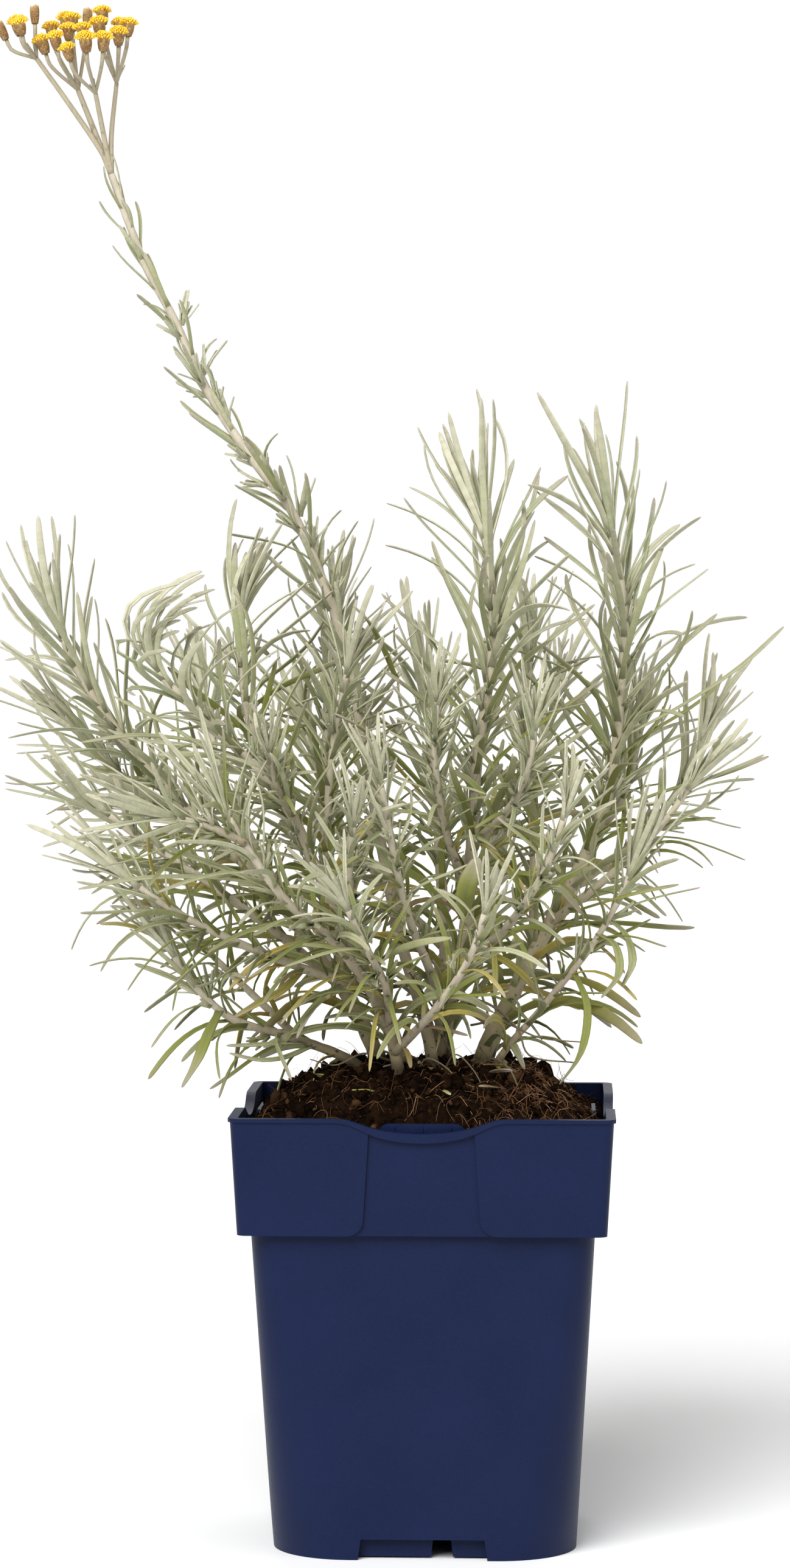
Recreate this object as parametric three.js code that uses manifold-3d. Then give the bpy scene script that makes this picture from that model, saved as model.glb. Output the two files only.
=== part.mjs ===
// A potted curry plant (Helichrysum italicum): a square nursery pot filled with potting soil, leafy
// shoots that rise from a woody crown, and one long flower stalk that ends in a corymb of small heads.
// Millimetres, +Z up. The origin is the centre of the pot's foot, on the ground. -Y is the front.
import * as THREE from "three";
import { mergeVertices } from "three/addons/utils/BufferGeometryUtils.js";
import Module from "manifold-3d";

const wasm = await Module();
wasm.setup();

// ---- driving dimensions ---------------------------------------------------------------------
const POT_HEIGHT = 127.5;
const RIM_HALF = 54.5; // half the width over the collar's flaps at the top, without the lip
const COLLAR_FOOT_HALF = 52.6; // the same at the collar's lower edge
const COLLAR_FOOT_Z = 94;
const BODY_TOP_HALF = 49.2;
const BODY_FOOT_HALF = 44.0;
const CORNER_TOP = 3; // plan radius of a corner at the rim
const CORNER_BODY = 8; // just under the collar
const CORNER_FOOT = 23; // at the foot
const WALL = 1.3;
const COLLAR_WALL = 2.3; // flaps and the panel behind them are moulded as one
const LIP = 0.5; // how far the rim's lip stands out
const LIP_HEIGHT = 1.1;
const DIP_HALF = 24.5; // half the width of the dip in each side's rim
const DIP_DEPTH = 4.2;
const DIP_LIP_HEIGHT = 2.6; // the lip is wider where it runs through the dip
const PANEL_DEPTH = 1; // how far the middle panel of a collar side lies behind its flaps
const PANEL_TOP_HALF = 14.7;
const PANEL_FOOT_HALF = 16.6;
const PANEL_CORNER = 4.5;
const POCKET_HALF = 12.2; // the label pocket behind each panel
const POCKET_GAP = 2.6;
const POCKET_WALL = 1.1;
const POCKET_FOOT_Z = 110;
const POCKET_TOP_Z = 125.7;
const POCKET_CORNER = 2.5;
const RIB_COUNT = 3;
const RIB_SPACING = 8;
const FLOOR_Z = 6; // underside of the pot's floor
const RING_HALF = 40.7; // the foot ring inside the skirt, with a drain slot in each side
const RING_FOOT_Z = 0.5;
const SLOT_HALF = 2.5;
const SLOT_OFFSET = 5.5; // how far a slot lies to the right of its side's middle
const NOTCH_TOP_HALF = 17.7; // the drain notch in each side of the skirt
const NOTCH_FOOT_HALF = 18.7;
const BOSS_RADIUS = 7;
const DRAIN_RADIUS = 4.2;
const DRAIN_OUT = 32;

const SOIL_EDGE_Z = 122.3;
const SOIL_RISE = 15.5;
const SOIL_PLATEAU = 50; // the distance from the middle at which the mound has fallen to its edge
const GAP = 0.35; // the clearance between one piece and the next

const LEAF_WIDTH = 2.1;
const LEAF_THICKNESS = 0.9;
const GOLDEN_TURN = THREE.MathUtils.degToRad(137.5);

const COLOURS = {
  pot: { color: 0x1c2a54, roughness: 0.5, metalness: 0 },
  soil: { color: 0x2a1a10, roughness: 1, metalness: 0 },
  shoot: { color: 0x9da588, roughness: 0.8, metalness: 0 },
  stalk: { color: 0xa9a78f, roughness: 0.8, metalness: 0 },
  flower: { color: 0xe8a512, roughness: 0.7, metalness: 0 },
};

// ---- the plant's stems ------------------------------------------------------------------------
// Each row: its name, the stem that it grows from (null is the soil), the points that it passes
// through, its radius at both ends, the share of its length where its leaves begin, how many leaves
// it carries here and the length of its longest leaf.
const STEMS = [
  { name: "stem_left_main", from: null, base: 2.4, tip: 1.1, leafy: 0.4, leaves: 10, leaf: 27,
    route: [[-4, -8, 124], [-9, -11, 146], [-20, -17, 170], [-31, -24, 196], [-41, -28, 217],
      [-60, -32, 238], [-76, -34, 254], [-81, -34, 270]] },
  { name: "stem_centre_main", from: null, base: 2.7, tip: 1, leafy: 0.5, leaves: 11, leaf: 31,
    route: [[0, 8, 124], [3, 6, 143], [10, 2, 168], [13, -2, 201], [15, -4, 231], [19, -4, 258],
      [18, -2, 288], [12, 0, 312]] },
  { name: "stem_right_main", from: null, base: 2.8, tip: 1, leafy: 0.48, leaves: 11, leaf: 33,
    route: [[12, 3, 124], [17, 5, 142], [26, 8, 160], [35, 12, 177], [46, 14, 198], [54, 14, 220],
      [57, 12, 249], [58, 10, 271], [54, 8, 296], [50, 6, 313]] },
  { name: "stem_front_main", from: null, base: 2.0, tip: 1, leafy: 0.4, leaves: 8, leaf: 23,
    route: [[-6, -17, 124], [-10, -20, 148], [-23, -38, 174], [-38, -54, 189], [-47, -62, 202],
      [-53, -66, 212], [-60, -68, 224]] },
  { name: "stem_back_main", from: null, base: 2.6, tip: 1, leafy: 0.4, leaves: 9, leaf: 25,
    route: [[3, 20, 124], [5, 28, 152], [3, 44, 188], [0, 56, 225], [-4, 61, 262]] },
  { name: "stem_back_left_main", from: null, base: 2.7, tip: 1, leafy: 0.42, leaves: 10, leaf: 28,
    route: [[-9, 11, 124], [-24, 20, 156], [-50, 24, 190], [-83, 26, 222], [-101, 24, 246],
      [-111, 24, 266], [-112, 24, 283]] },
  { name: "stem_back_right_main", from: null, base: 2.4, tip: 1, leafy: 0.4, leaves: 8, leaf: 25,
    route: [[12, 16, 124], [24, 31, 154], [42, 50, 184], [54, 62, 214], [60, 69, 244]] },
  { name: "stem_low_left", from: null, base: 1.7, tip: 0.9, leafy: 0.3, leaves: 6, leaf: 21,
    route: [[-13, -3, 124], [-19, -5, 137], [-37, -10, 146], [-57, -16, 153], [-69, -20, 165],
      [-77, -22, 179]] },
  { name: "stem_low_right", from: null, base: 1.2, tip: 0.8, leafy: 0.4, leaves: 6, leaf: 22,
    route: [[14, -7, 124], [21, -9, 140], [34, -12, 156], [48, -18, 174], [56, -22, 188],
      [62, -24, 204]] },
  { name: "shoot_front_left", from: "stem_front_main", base: 1.3, tip: 0.8, leafy: 0.2, leaves: 5,
    leaf: 24, route: [[-49, -64, 206], [-59, -71, 211], [-69, -76, 214]] },
  { name: "shoot_front_low", from: "stem_front_main", base: 1.4, tip: 0.9, leafy: 0.3, leaves: 5,
    leaf: 20, route: [[-10, -20, 149], [-11, -36, 164], [-17, -50, 178], [-22, -58, 190]] },
  { name: "shoot_front_right", from: "stem_front_main", base: 1.4, tip: 0.9, leafy: 0.3, leaves: 5,
    leaf: 19, route: [[-9, -19, 143], [4, -36, 158], [14, -49, 174], [19, -57, 190]] },
  { name: "shoot_front_centre", from: "stem_centre_main", base: 1.6, tip: 0.9, leafy: 0.35,
    leaves: 6, leaf: 18, route: [[4, 5, 146], [2, -13, 164], [-4, -30, 182], [-8, -40, 200],
      [-13, -47, 229]] },
  { name: "shoot_front_inner", from: "stem_left_main", base: 1.5, tip: 0.9, leafy: 0.4, leaves: 5,
    leaf: 18, route: [[-15, -14, 159], [-20, -28, 180], [-21, -39, 198], [-19, -47, 214]] },
  { name: "shoot_left_star", from: "stem_left_main", base: 1.2, tip: 0.8, leafy: 0.3, leaves: 5,
    leaf: 15, route: [[-38, -27, 212], [-42, -39, 222], [-44, -48, 233]] },
  { name: "shoot_left_upright", from: "stem_left_main", base: 1.5, tip: 0.9, leafy: 0.3, leaves: 6,
    leaf: 28, route: [[-43, -29, 220], [-51, -13, 237], [-55, 0, 255], [-56, 6, 273]] },
  { name: "shoot_left_middle", from: "stem_left_main", base: 1.5, tip: 0.9, leafy: 0.4, leaves: 6,
    leaf: 24, route: [[-16, -14, 161], [-34, -18, 167], [-53, -25, 175], [-72, -31, 185],
      [-89, -34, 197]] },
  { name: "shoot_left_back", from: "stem_back_left_main", base: 1.6, tip: 0.9, leafy: 0.4,
    leaves: 6, leaf: 25, route: [[-25, 20, 158], [-42, 6, 174], [-66, -5, 193], [-84, -10, 205],
      [-98, -14, 216]] },
  { name: "shoot_left_far", from: "stem_back_left_main", base: 1.6, tip: 0.9, leafy: 0.3,
    leaves: 6, leaf: 27, route: [[-57, 24, 197], [-80, 38, 210], [-98, 43, 225], [-111, 44, 238]] },
  { name: "shoot_left_low_back", from: "stem_low_left", base: 1.3, tip: 0.8, leafy: 0.4, leaves: 5,
    leaf: 21, route: [[-37, -10, 146], [-52, 6, 158], [-66, 17, 170], [-81, 23, 186]] },
  { name: "shoot_middle_left", from: "stem_left_main", base: 1.5, tip: 0.9, leafy: 0.35,
    leaves: 6, leaf: 22, route: [[-27, -21, 186], [-29, -10, 208], [-27, -9, 234], [-22, -14, 258]] },
  { name: "shoot_middle_back", from: "stem_back_left_main", base: 1.6, tip: 0.9, leafy: 0.4,
    leaves: 6, leaf: 25, route: [[-25, 20, 157], [-32, 34, 192], [-32, 38, 232], [-29, 38, 278]] },
  { name: "shoot_centre_star", from: "stem_centre_main", base: 1.4, tip: 0.8, leafy: 0.35,
    leaves: 5, leaf: 16, route: [[12, -1, 188], [5, -17, 211], [3, -26, 232], [4, -30, 250]] },
  { name: "shoot_right_front", from: "stem_centre_main", base: 1.6, tip: 0.9, leafy: 0.35,
    leaves: 6, leaf: 19, route: [[10, 2, 168], [22, -18, 178], [30, -33, 189], [36, -42, 200],
      [42, -48, 218]] },
  { name: "shoot_right_star", from: "stem_centre_main", base: 1.4, tip: 0.8, leafy: 0.35,
    leaves: 5, leaf: 18, route: [[13, -2, 203], [24, -21, 214], [30, -32, 226], [32, -37, 241]] },
  { name: "shoot_right_inner", from: "stem_right_main", base: 1.3, tip: 0.8, leafy: 0.3, leaves: 5,
    leaf: 18, route: [[49, 14, 205], [57, 26, 214], [61, 31, 226], [64, 31, 239]] },
  { name: "shoot_right_side", from: "stem_right_main", base: 1.5, tip: 0.8, leafy: 0.4, leaves: 6,
    leaf: 21, route: [[36, 12, 179], [54, 2, 194], [68, -4, 208], [79, -8, 223]] },
  { name: "shoot_right_back", from: "stem_back_right_main", base: 1.4, tip: 0.8, leafy: 0.3,
    leaves: 5, leaf: 23, route: [[44, 52, 188], [62, 49, 202], [75, 46, 218], [83, 44, 237]] },
  { name: "shoot_back_tall", from: "stem_back_right_main", base: 1.6, tip: 0.9, leafy: 0.4,
    leaves: 6, leaf: 23, route: [[31, 39, 166], [31, 46, 198], [29, 51, 232], [30, 55, 266]] },
  { name: "shoot_back_right", from: "stem_back_main", base: 1.6, tip: 0.8, leafy: 0.35, leaves: 6,
    leaf: 24, route: [[3, 40, 180], [17, 60, 198], [31, 76, 222], [38, 84, 249]] },
  { name: "shoot_back_left", from: "stem_back_main", base: 1.6, tip: 0.8, leafy: 0.35, leaves: 6,
    leaf: 24, route: [[4, 36, 170], [-15, 56, 188], [-32, 71, 212], [-42, 79, 240]] },
  { name: "shoot_back_outer", from: "stem_back_left_main", base: 1.6, tip: 0.8, leafy: 0.35,
    leaves: 6, leaf: 24, route: [[-40, 23, 180], [-54, 46, 200], [-66, 60, 224], [-72, 67, 250]] },
  { name: "shoot_back_low", from: "stem_back_main", base: 1.5, tip: 0.8, leafy: 0.4, leaves: 5,
    leaf: 22, route: [[5, 28, 152], [12, 50, 162], [17, 72, 175], [19, 86, 194]] },
  { name: "flower_stalk", from: null, base: 1.9, tip: 1.1, leafy: 0.42, leaves: 14, leaf: 21,
    route: [[4, -9, 124], [0, -4, 148], [-8, 7, 174], [-15, 15, 206], [-20, 16, 235],
      [-24, 14, 258], [-32, 12, 282], [-41, 10, 302], [-51, 10, 315], [-64, 12, 334],
      [-76, 12, 359], [-84, 11, 374], [-89, 10, 387], [-94, 10, 401]] },
];

// The corymb: four branches leave the stalk's top, and each forks into the pedicels of its heads.
const CORYMB_FOOT = [-94, 10, 401];
const CORYMB = [
  { route: [[-96, 10, 406], [-106, 10, 421], [-116, 9, 435]], radius: 0.85,
    heads: [[-124.5, 6, 440], [-121, 11.5, 442], [-119.5, 3.5, 441], [-116.5, 9, 445]] },
  { route: [[-98, 11, 411], [-104, 12, 426]], radius: 1,
    heads: [[-111.5, 14, 441], [-113, 8, 436], [-108, 19, 444], [-109, 2.5, 436.5],
      [-105.5, 11, 443], [-102, 17, 445], [-106, 5.5, 439.5]] },
  { route: [[-96, 8, 412], [-98, 4, 424]], radius: 0.85,
    heads: [[-104.5, -3, 432.5], [-99.5, -6, 434.5], [-101, 0.5, 438.5], [-95, -4, 435]] },
  { route: [[-94, 10, 412], [-92.5, 11, 428]], radius: 0.8,
    heads: [[-96.5, 12, 445], [-96.5, 5, 440.5], [-92, 14.5, 442], [-89, 8.5, 441],
      [-91, 2, 437.5]] },
];
const PEDICEL_RADIUS = 0.5;
const HEAD_LENGTH = 5.6;
const HEAD_RADIUS = 2.05;
const HEAD_SIDES = 6;

// ---- closed meshes and solids -----------------------------------------------------------------
const vector = (p) => new THREE.Vector3(...p);

/** A closed mesh through rings of equally many points. Flat ends are fans about the ring's middle. */
function loft(rings) {
  const size = Math.max(...rings.map((ring) => ring.length));
  const positions = [];
  const face = (a, b, c) => positions.push(...a.toArray(), ...b.toArray(), ...c.toArray());
  for (let k = 0; k + 1 < rings.length; k++)
    for (let i = 0; i < size; i++) {
      const j = (i + 1) % size;
      const [low, high] = [rings[k], rings[k + 1]];
      if (high.length === 1) face(low[i], low[j], high[0]);
      else {
        face(low[i], low[j], high[j]);
        face(low[i], high[j], high[i]);
      }
    }
  const middle = (ring) =>
    ring.reduce((sum, p) => sum.add(p), new THREE.Vector3()).divideScalar(ring.length);
  const [first, last] = [rings[0], rings.at(-1)];
  for (let i = 0; i < size; i++) {
    const j = (i + 1) % size;
    face(first[j], first[i], middle(first));
    if (last.length > 1) face(last[i], last[j], middle(last));
  }
  const geometry = new THREE.BufferGeometry();
  geometry.setAttribute("position", new THREE.Float32BufferAttribute(positions, 3));
  return geometry;
}

/** The manifold-3d solid of a closed geometry. */
function solid(geometry) {
  const plain = new THREE.BufferGeometry();
  const flat = geometry.index ? geometry.toNonIndexed() : geometry;
  plain.setAttribute("position", flat.getAttribute("position"));
  const merged = mergeVertices(plain, 1e-4);
  return new wasm.Manifold(new wasm.Mesh({
    numProp: 3,
    vertProperties: new Float32Array(merged.attributes.position.array),
    triVerts: new Uint32Array(merged.index.array),
  }));
}

/** The three.js geometry of a solid. */
function geometryOf(body) {
  const mesh = body.getMesh();
  const geometry = new THREE.BufferGeometry();
  geometry.setAttribute("position", new THREE.BufferAttribute(mesh.vertProperties, 3));
  geometry.setIndex(new THREE.BufferAttribute(mesh.triVerts, 1));
  return geometry.toNonIndexed();
}

/** The largest of the bodies that a cut leaves. */
function largest(body) {
  const parts = body.decompose();
  return parts.reduce((best, part) => (part.volume() > best.volume() ? part : best));
}

const turned = (geometry, quarter) => geometry.clone().rotateZ((quarter * Math.PI) / 2);
const QUARTERS = [0, 1, 2, 3];

// ---- the pot ----------------------------------------------------------------------------------
const CORNER_STEPS = 5;
const CURVE_STEPS = 4;

/** A rounded square at height z, counter-clockwise from above. */
function roundedSquare(half, radius, z) {
  const points = [];
  for (const quarter of QUARTERS)
    for (let i = 0; i <= CORNER_STEPS; i++) {
      const angle = (quarter + i / CORNER_STEPS) * (Math.PI / 2);
      const corner = new THREE.Vector3(half - radius, half - radius, z)
        .applyAxisAngle(new THREE.Vector3(0, 0, 1), (quarter * Math.PI) / 2);
      points.push(corner.add(new THREE.Vector3(Math.cos(angle), Math.sin(angle), 0)
        .multiplyScalar(radius)));
    }
  return points;
}

const bodyHalf = (z) => THREE.MathUtils.lerp(BODY_FOOT_HALF, BODY_TOP_HALF, z / COLLAR_FOOT_Z);
const bodyCorner = (z) =>
  THREE.MathUtils.lerp(CORNER_FOOT, CORNER_BODY, (z / COLLAR_FOOT_Z) ** 0.7);
const collarHalf = (z) =>
  THREE.MathUtils.mapLinear(z, COLLAR_FOOT_Z, POT_HEIGHT, COLLAR_FOOT_HALF, RIM_HALF);

/** The body's form, shrunk by inset. */
function bodyForm(inset, heights) {
  return solid(loft(heights.map((z) =>
    roundedSquare(bodyHalf(z) - inset, bodyCorner(z) - inset, z))));
}

/** The collar's form, shrunk by inset. */
function collarForm(inset, heights) {
  return solid(loft(heights.map((z) =>
    roundedSquare(collarHalf(z) - inset, CORNER_TOP - Math.min(inset, 1.5), z))));
}

/** A plate in the front side's plane (X across, Z up), from y = near to y = far. */
function frontPlate(shape, near, far) {
  const size = { depth: far - near, bevelEnabled: false, curveSegments: CURVE_STEPS };
  return new THREE.ExtrudeGeometry(shape, size).rotateX(Math.PI / 2).translate(0, far, 0);
}

/** Leans a plate that is upright at the collar's foot to the collar's slope. */
function leaned(geometry) {
  const slope = (RIM_HALF - COLLAR_FOOT_HALF) / (POT_HEIGHT - COLLAR_FOOT_Z);
  return geometry.applyMatrix4(new THREE.Matrix4().set(
    1, 0, 0, 0,
    0, 1, -slope, slope * COLLAR_FOOT_Z,
    0, 0, 1, 0,
    0, 0, 0, 1));
}

/** Draws the dip from one end of it to the other. Way is 1 from left to right. */
function addDip(shape, top, depth, way) {
  const at = (share, drop) => [way * share * DIP_HALF, top - drop * depth];
  shape.bezierCurveTo(...at(-0.84, 0), ...at(-0.72, 0.36), ...at(-0.6, 0.57));
  shape.bezierCurveTo(...at(-0.42, 0.88), ...at(-0.2, 1), ...at(0, 1));
  shape.bezierCurveTo(...at(0.2, 1), ...at(0.42, 0.88), ...at(0.6, 0.57));
  shape.bezierCurveTo(...at(0.72, 0.36), ...at(0.84, 0), ...at(1, 0));
  return shape;
}

/** What a side's rim loses to its dip. */
function dipCutter() {
  const above = POT_HEIGHT + 5;
  const shape = new THREE.Shape().moveTo(DIP_HALF, POT_HEIGHT);
  addDip(shape, POT_HEIGHT, DIP_DEPTH, -1).lineTo(-DIP_HALF, above).lineTo(DIP_HALF, above);
  return frontPlate(shape.closePath(), -RIM_HALF - 5, -RIM_HALF + COLLAR_WALL + 1);
}

/** The recess between a side's two flaps. */
function panelCutter() {
  const foot = COLLAR_FOOT_Z - 1;
  const [a, b] = [PANEL_TOP_HALF, PANEL_FOOT_HALF];
  const shape = new THREE.Shape().moveTo(a, POT_HEIGHT + 1).lineTo(-a, POT_HEIGHT + 1);
  shape.lineTo(-b, COLLAR_FOOT_Z + PANEL_CORNER);
  shape.quadraticCurveTo(-b, COLLAR_FOOT_Z, -b - PANEL_CORNER, COLLAR_FOOT_Z);
  shape.lineTo(-b - PANEL_CORNER, foot).lineTo(b + PANEL_CORNER, foot);
  shape.lineTo(b + PANEL_CORNER, COLLAR_FOOT_Z);
  shape.quadraticCurveTo(b, COLLAR_FOOT_Z, b, COLLAR_FOOT_Z + PANEL_CORNER);
  return leaned(frontPlate(shape.closePath(), -RIM_HALF - 5, -COLLAR_FOOT_HALF + PANEL_DEPTH));
}

/** A side's stretch of the raised lip. It follows the dip and is wider there. */
function sideLip() {
  const [end, below] = [RIM_HALF - 2, POT_HEIGHT - LIP_HEIGHT];
  const deeper = DIP_DEPTH + DIP_LIP_HEIGHT - LIP_HEIGHT;
  const shape = new THREE.Shape().moveTo(end, POT_HEIGHT).lineTo(DIP_HALF, POT_HEIGHT);
  addDip(shape, POT_HEIGHT, DIP_DEPTH, -1).lineTo(-end, POT_HEIGHT).lineTo(-end, below);
  addDip(shape.lineTo(-DIP_HALF, below), below, deeper, 1).lineTo(end, below);
  const plate = frontPlate(shape.closePath(), -COLLAR_FOOT_HALF - LIP, -COLLAR_FOOT_HALF + 1.5);
  return leaned(plate);
}

/** The label pocket: a low wall behind the panel on a ledge, with two cheeks and small ribs. */
function labelPocket() {
  const front = -COLLAR_FOOT_HALF + COLLAR_WALL - 0.4;
  const back = -COLLAR_FOOT_HALF + COLLAR_WALL + POCKET_GAP;
  const [w, r, top] = [POCKET_HALF, POCKET_CORNER, POCKET_TOP_Z];
  const wall = new THREE.Shape().moveTo(w, POCKET_FOOT_Z).lineTo(w, top - r);
  wall.lineTo(w - r, top).lineTo(-w + r, top).lineTo(-w, top - r).lineTo(-w, POCKET_FOOT_Z);
  let body = solid(leaned(frontPlate(wall.closePath(), back, back + POCKET_WALL)));
  const box = (width, y0, y1, z0, z1, x) => solid(leaned(
    new THREE.BoxGeometry(width, y1 - y0, z1 - z0).translate(x, (y0 + y1) / 2, (z0 + z1) / 2)));
  const end = back + POCKET_WALL / 2;
  body = body.add(box(2 * w, front, end, POCKET_FOOT_Z - POCKET_WALL, POCKET_FOOT_Z, 0));
  for (const side of [-1, 1])
    body = body.add(box(POCKET_WALL, front, end, POCKET_FOOT_Z - 0.5, top - 6,
      side * (w - POCKET_WALL / 2)));
  for (let i = 0; i < RIB_COUNT; i++)
    body = body.add(box(0.6, back - 0.5, end, POCKET_FOOT_Z - 0.5, top - 0.8,
      (i - (RIB_COUNT - 1) / 2) * RIB_SPACING));
  return geometryOf(body);
}

/** The gap in the skirt's front side, through which water drains away. */
function skirtNotch() {
  const shape = new THREE.Shape().moveTo(NOTCH_FOOT_HALF, -1).lineTo(NOTCH_TOP_HALF, FLOOR_Z);
  shape.lineTo(-NOTCH_TOP_HALF, FLOOR_Z).lineTo(-NOTCH_FOOT_HALF, -1).closePath();
  return frontPlate(shape, -BODY_FOOT_HALF - 5, -RING_HALF - 0.6);
}

/** The drain slot in the foot ring's front side. */
function ringSlot() {
  const shape = new THREE.Shape().moveTo(SLOT_OFFSET + SLOT_HALF + 0.8, -1);
  shape.lineTo(SLOT_OFFSET + SLOT_HALF, FLOOR_Z).lineTo(SLOT_OFFSET - SLOT_HALF, FLOOR_Z);
  shape.lineTo(SLOT_OFFSET - SLOT_HALF - 0.8, -1).closePath();
  return frontPlate(shape, -BODY_FOOT_HALF, -RING_HALF + 5);
}

function footRing() {
  const ring = (inset, low) => solid(loft([low, FLOOR_Z + 0.5].map((z) =>
    roundedSquare(RING_HALF - inset, CORNER_FOOT - 3 - inset, z))));
  return QUARTERS.reduce((left, quarter) => left.subtract(solid(turned(ringSlot(), quarter))),
    ring(0, RING_FOOT_Z).subtract(ring(WALL, -1)));
}

const uprightCylinder = (radius, low, high, x, y, sides) =>
  new THREE.CylinderGeometry(radius, radius, high - low, sides)
    .rotateX(Math.PI / 2)
    .translate(x, y, (low + high) / 2);

/** The middle of the floor's underside: a boss with a gusset towards each corner. */
function footBoss() {
  let boss = solid(uprightCylinder(BOSS_RADIUS, 0, FLOOR_Z + 0.5, 0, 0, 16));
  for (const quarter of QUARTERS) {
    const gusset = new THREE.BoxGeometry(26, 1.4, FLOOR_Z - 0.5)
      .translate(BOSS_RADIUS + 11, 0, FLOOR_Z / 2 + 0.75);
    boss = boss.add(solid(turned(gusset.rotateZ(Math.PI / 4), quarter)));
  }
  return boss;
}

function potSolid() {
  let pot = bodyForm(0, [0, 22, 55, COLLAR_FOOT_Z + 0.5])
    .add(collarForm(0, [COLLAR_FOOT_Z, POT_HEIGHT]));
  for (const quarter of QUARTERS) pot = pot.subtract(solid(turned(panelCutter(), quarter)));
  pot = pot.add(collarForm(-LIP, [POT_HEIGHT - LIP_HEIGHT, POT_HEIGHT]));
  for (const quarter of QUARTERS) {
    pot = pot.subtract(solid(turned(dipCutter(), quarter)));
    pot = pot.add(solid(turned(sideLip(), quarter)));
  }
  pot = pot.subtract(bodyForm(WALL, [FLOOR_Z + WALL, 22, 55, COLLAR_FOOT_Z + 2]));
  pot = pot.subtract(collarForm(COLLAR_WALL, [COLLAR_FOOT_Z + WALL, POT_HEIGHT + 10]));
  const under = [-1, FLOOR_Z].map((z) =>
    roundedSquare(bodyHalf(0) - WALL, bodyCorner(0) - WALL, z));
  pot = pot.subtract(solid(loft(under))).add(footRing()).add(footBoss());
  for (const quarter of QUARTERS) {
    pot = pot.add(solid(turned(labelPocket(), quarter)));
    pot = pot.subtract(solid(turned(skirtNotch(), quarter)));
    const drain = uprightCylinder(DRAIN_RADIUS, FLOOR_Z - 1, FLOOR_Z + 3, DRAIN_OUT, 0, 10);
    pot = pot.subtract(solid(turned(drain, quarter)));
  }
  return pot;
}

// ---- the soil ---------------------------------------------------------------------------------
const SOIL_COLUMNS = 14;

/** The mound's height at a place, with a few gentle lumps. */
function soilHeight(x, y) {
  const out = Math.min(1, (Math.abs(x) ** 4 + Math.abs(y) ** 4) ** 0.25 / SOIL_PLATEAU);
  const lumps = Math.sin(x * 0.31 + 1.2) * Math.cos(y * 0.27 + 0.4);
  return SOIL_EDGE_Z + SOIL_RISE * (1 - out ** 3.2) + lumps * (1 - out);
}

/** The space above the soil, as a solid that cuts it. */
function aboveSoil() {
  const width = 2 * RIM_HALF;
  const slab = new THREE.BoxGeometry(width, width, 60, SOIL_COLUMNS, SOIL_COLUMNS, 1)
    .translate(0, 0, SOIL_EDGE_Z + 30);
  const place = slab.getAttribute("position");
  for (let i = 0; i < place.count; i++)
    if (place.getZ(i) < SOIL_EDGE_Z + 1)
      place.setZ(i, soilHeight(place.getX(i), place.getY(i)));
  return solid(slab);
}

/** The space that a label pocket takes from the soil. */
function pocketSpace() {
  const [low, high] = [POCKET_FOOT_Z - POCKET_WALL - GAP, POT_HEIGHT + 20];
  const back = COLLAR_FOOT_HALF - COLLAR_WALL - POCKET_GAP - POCKET_WALL - GAP;
  return leaned(new THREE.BoxGeometry(2 * (POCKET_HALF + GAP), COLLAR_FOOT_HALF - back, high - low)
    .translate(0, -(COLLAR_FOOT_HALF + back) / 2, (low + high) / 2));
}

/** The potting soil fills the pot. Every space in holes is cut from it. */
function soilSolid(holes) {
  const soil = bodyForm(WALL + GAP, [FLOOR_Z + WALL + GAP, 22, 55, COLLAR_FOOT_Z + 2])
    .add(collarForm(COLLAR_WALL + GAP, [COLLAR_FOOT_Z + WALL + GAP, POT_HEIGHT + 20]))
    .subtract(aboveSoil());
  return holes.reduce((left, hole) => left.subtract(hole), soil);
}

// ---- stems ------------------------------------------------------------------------------------
const STEM_SIDES = 6;
const STEM_STEP = 18; // about one section in this many millimetres

function stemCurve(stem) {
  return new THREE.CatmullRomCurve3(stem.route.map(vector), false, "centripetal");
}

/** A tapered tube on a curve. Extra makes it thicker all along. */
function taperedTube(curve, base, tip, sides, steps, extra = 0) {
  const frames = curve.computeFrenetFrames(steps, false);
  const rings = [];
  for (let k = 0; k <= steps; k++) {
    const share = k / steps;
    const radius = THREE.MathUtils.lerp(base, tip, share ** 0.8) + extra;
    const centre = curve.getPointAt(share);
    rings.push(Array.from({ length: sides }, (_, i) => {
      const angle = (i / sides) * 2 * Math.PI;
      return centre.clone()
        .addScaledVector(frames.normals[k], radius * Math.cos(angle))
        .addScaledVector(frames.binormals[k], radius * Math.sin(angle));
    }));
  }
  return loft(rings);
}

function stemTube(stem, extra = 0) {
  const curve = stemCurve(stem);
  const steps = Math.max(4, Math.round(curve.getLength() / STEM_STEP));
  return solid(taperedTube(curve, stem.base, stem.tip, STEM_SIDES, steps, extra));
}

// ---- leaves -----------------------------------------------------------------------------------
/** A fixed number from 0 to 1 for a pair of numbers. */
function scatter(a, b) {
  const x = Math.sin(a * 12.9898 + b * 78.233) * 43758.5453;
  return x - Math.floor(x);
}

const LEAF_STEPS = 2;

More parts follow.
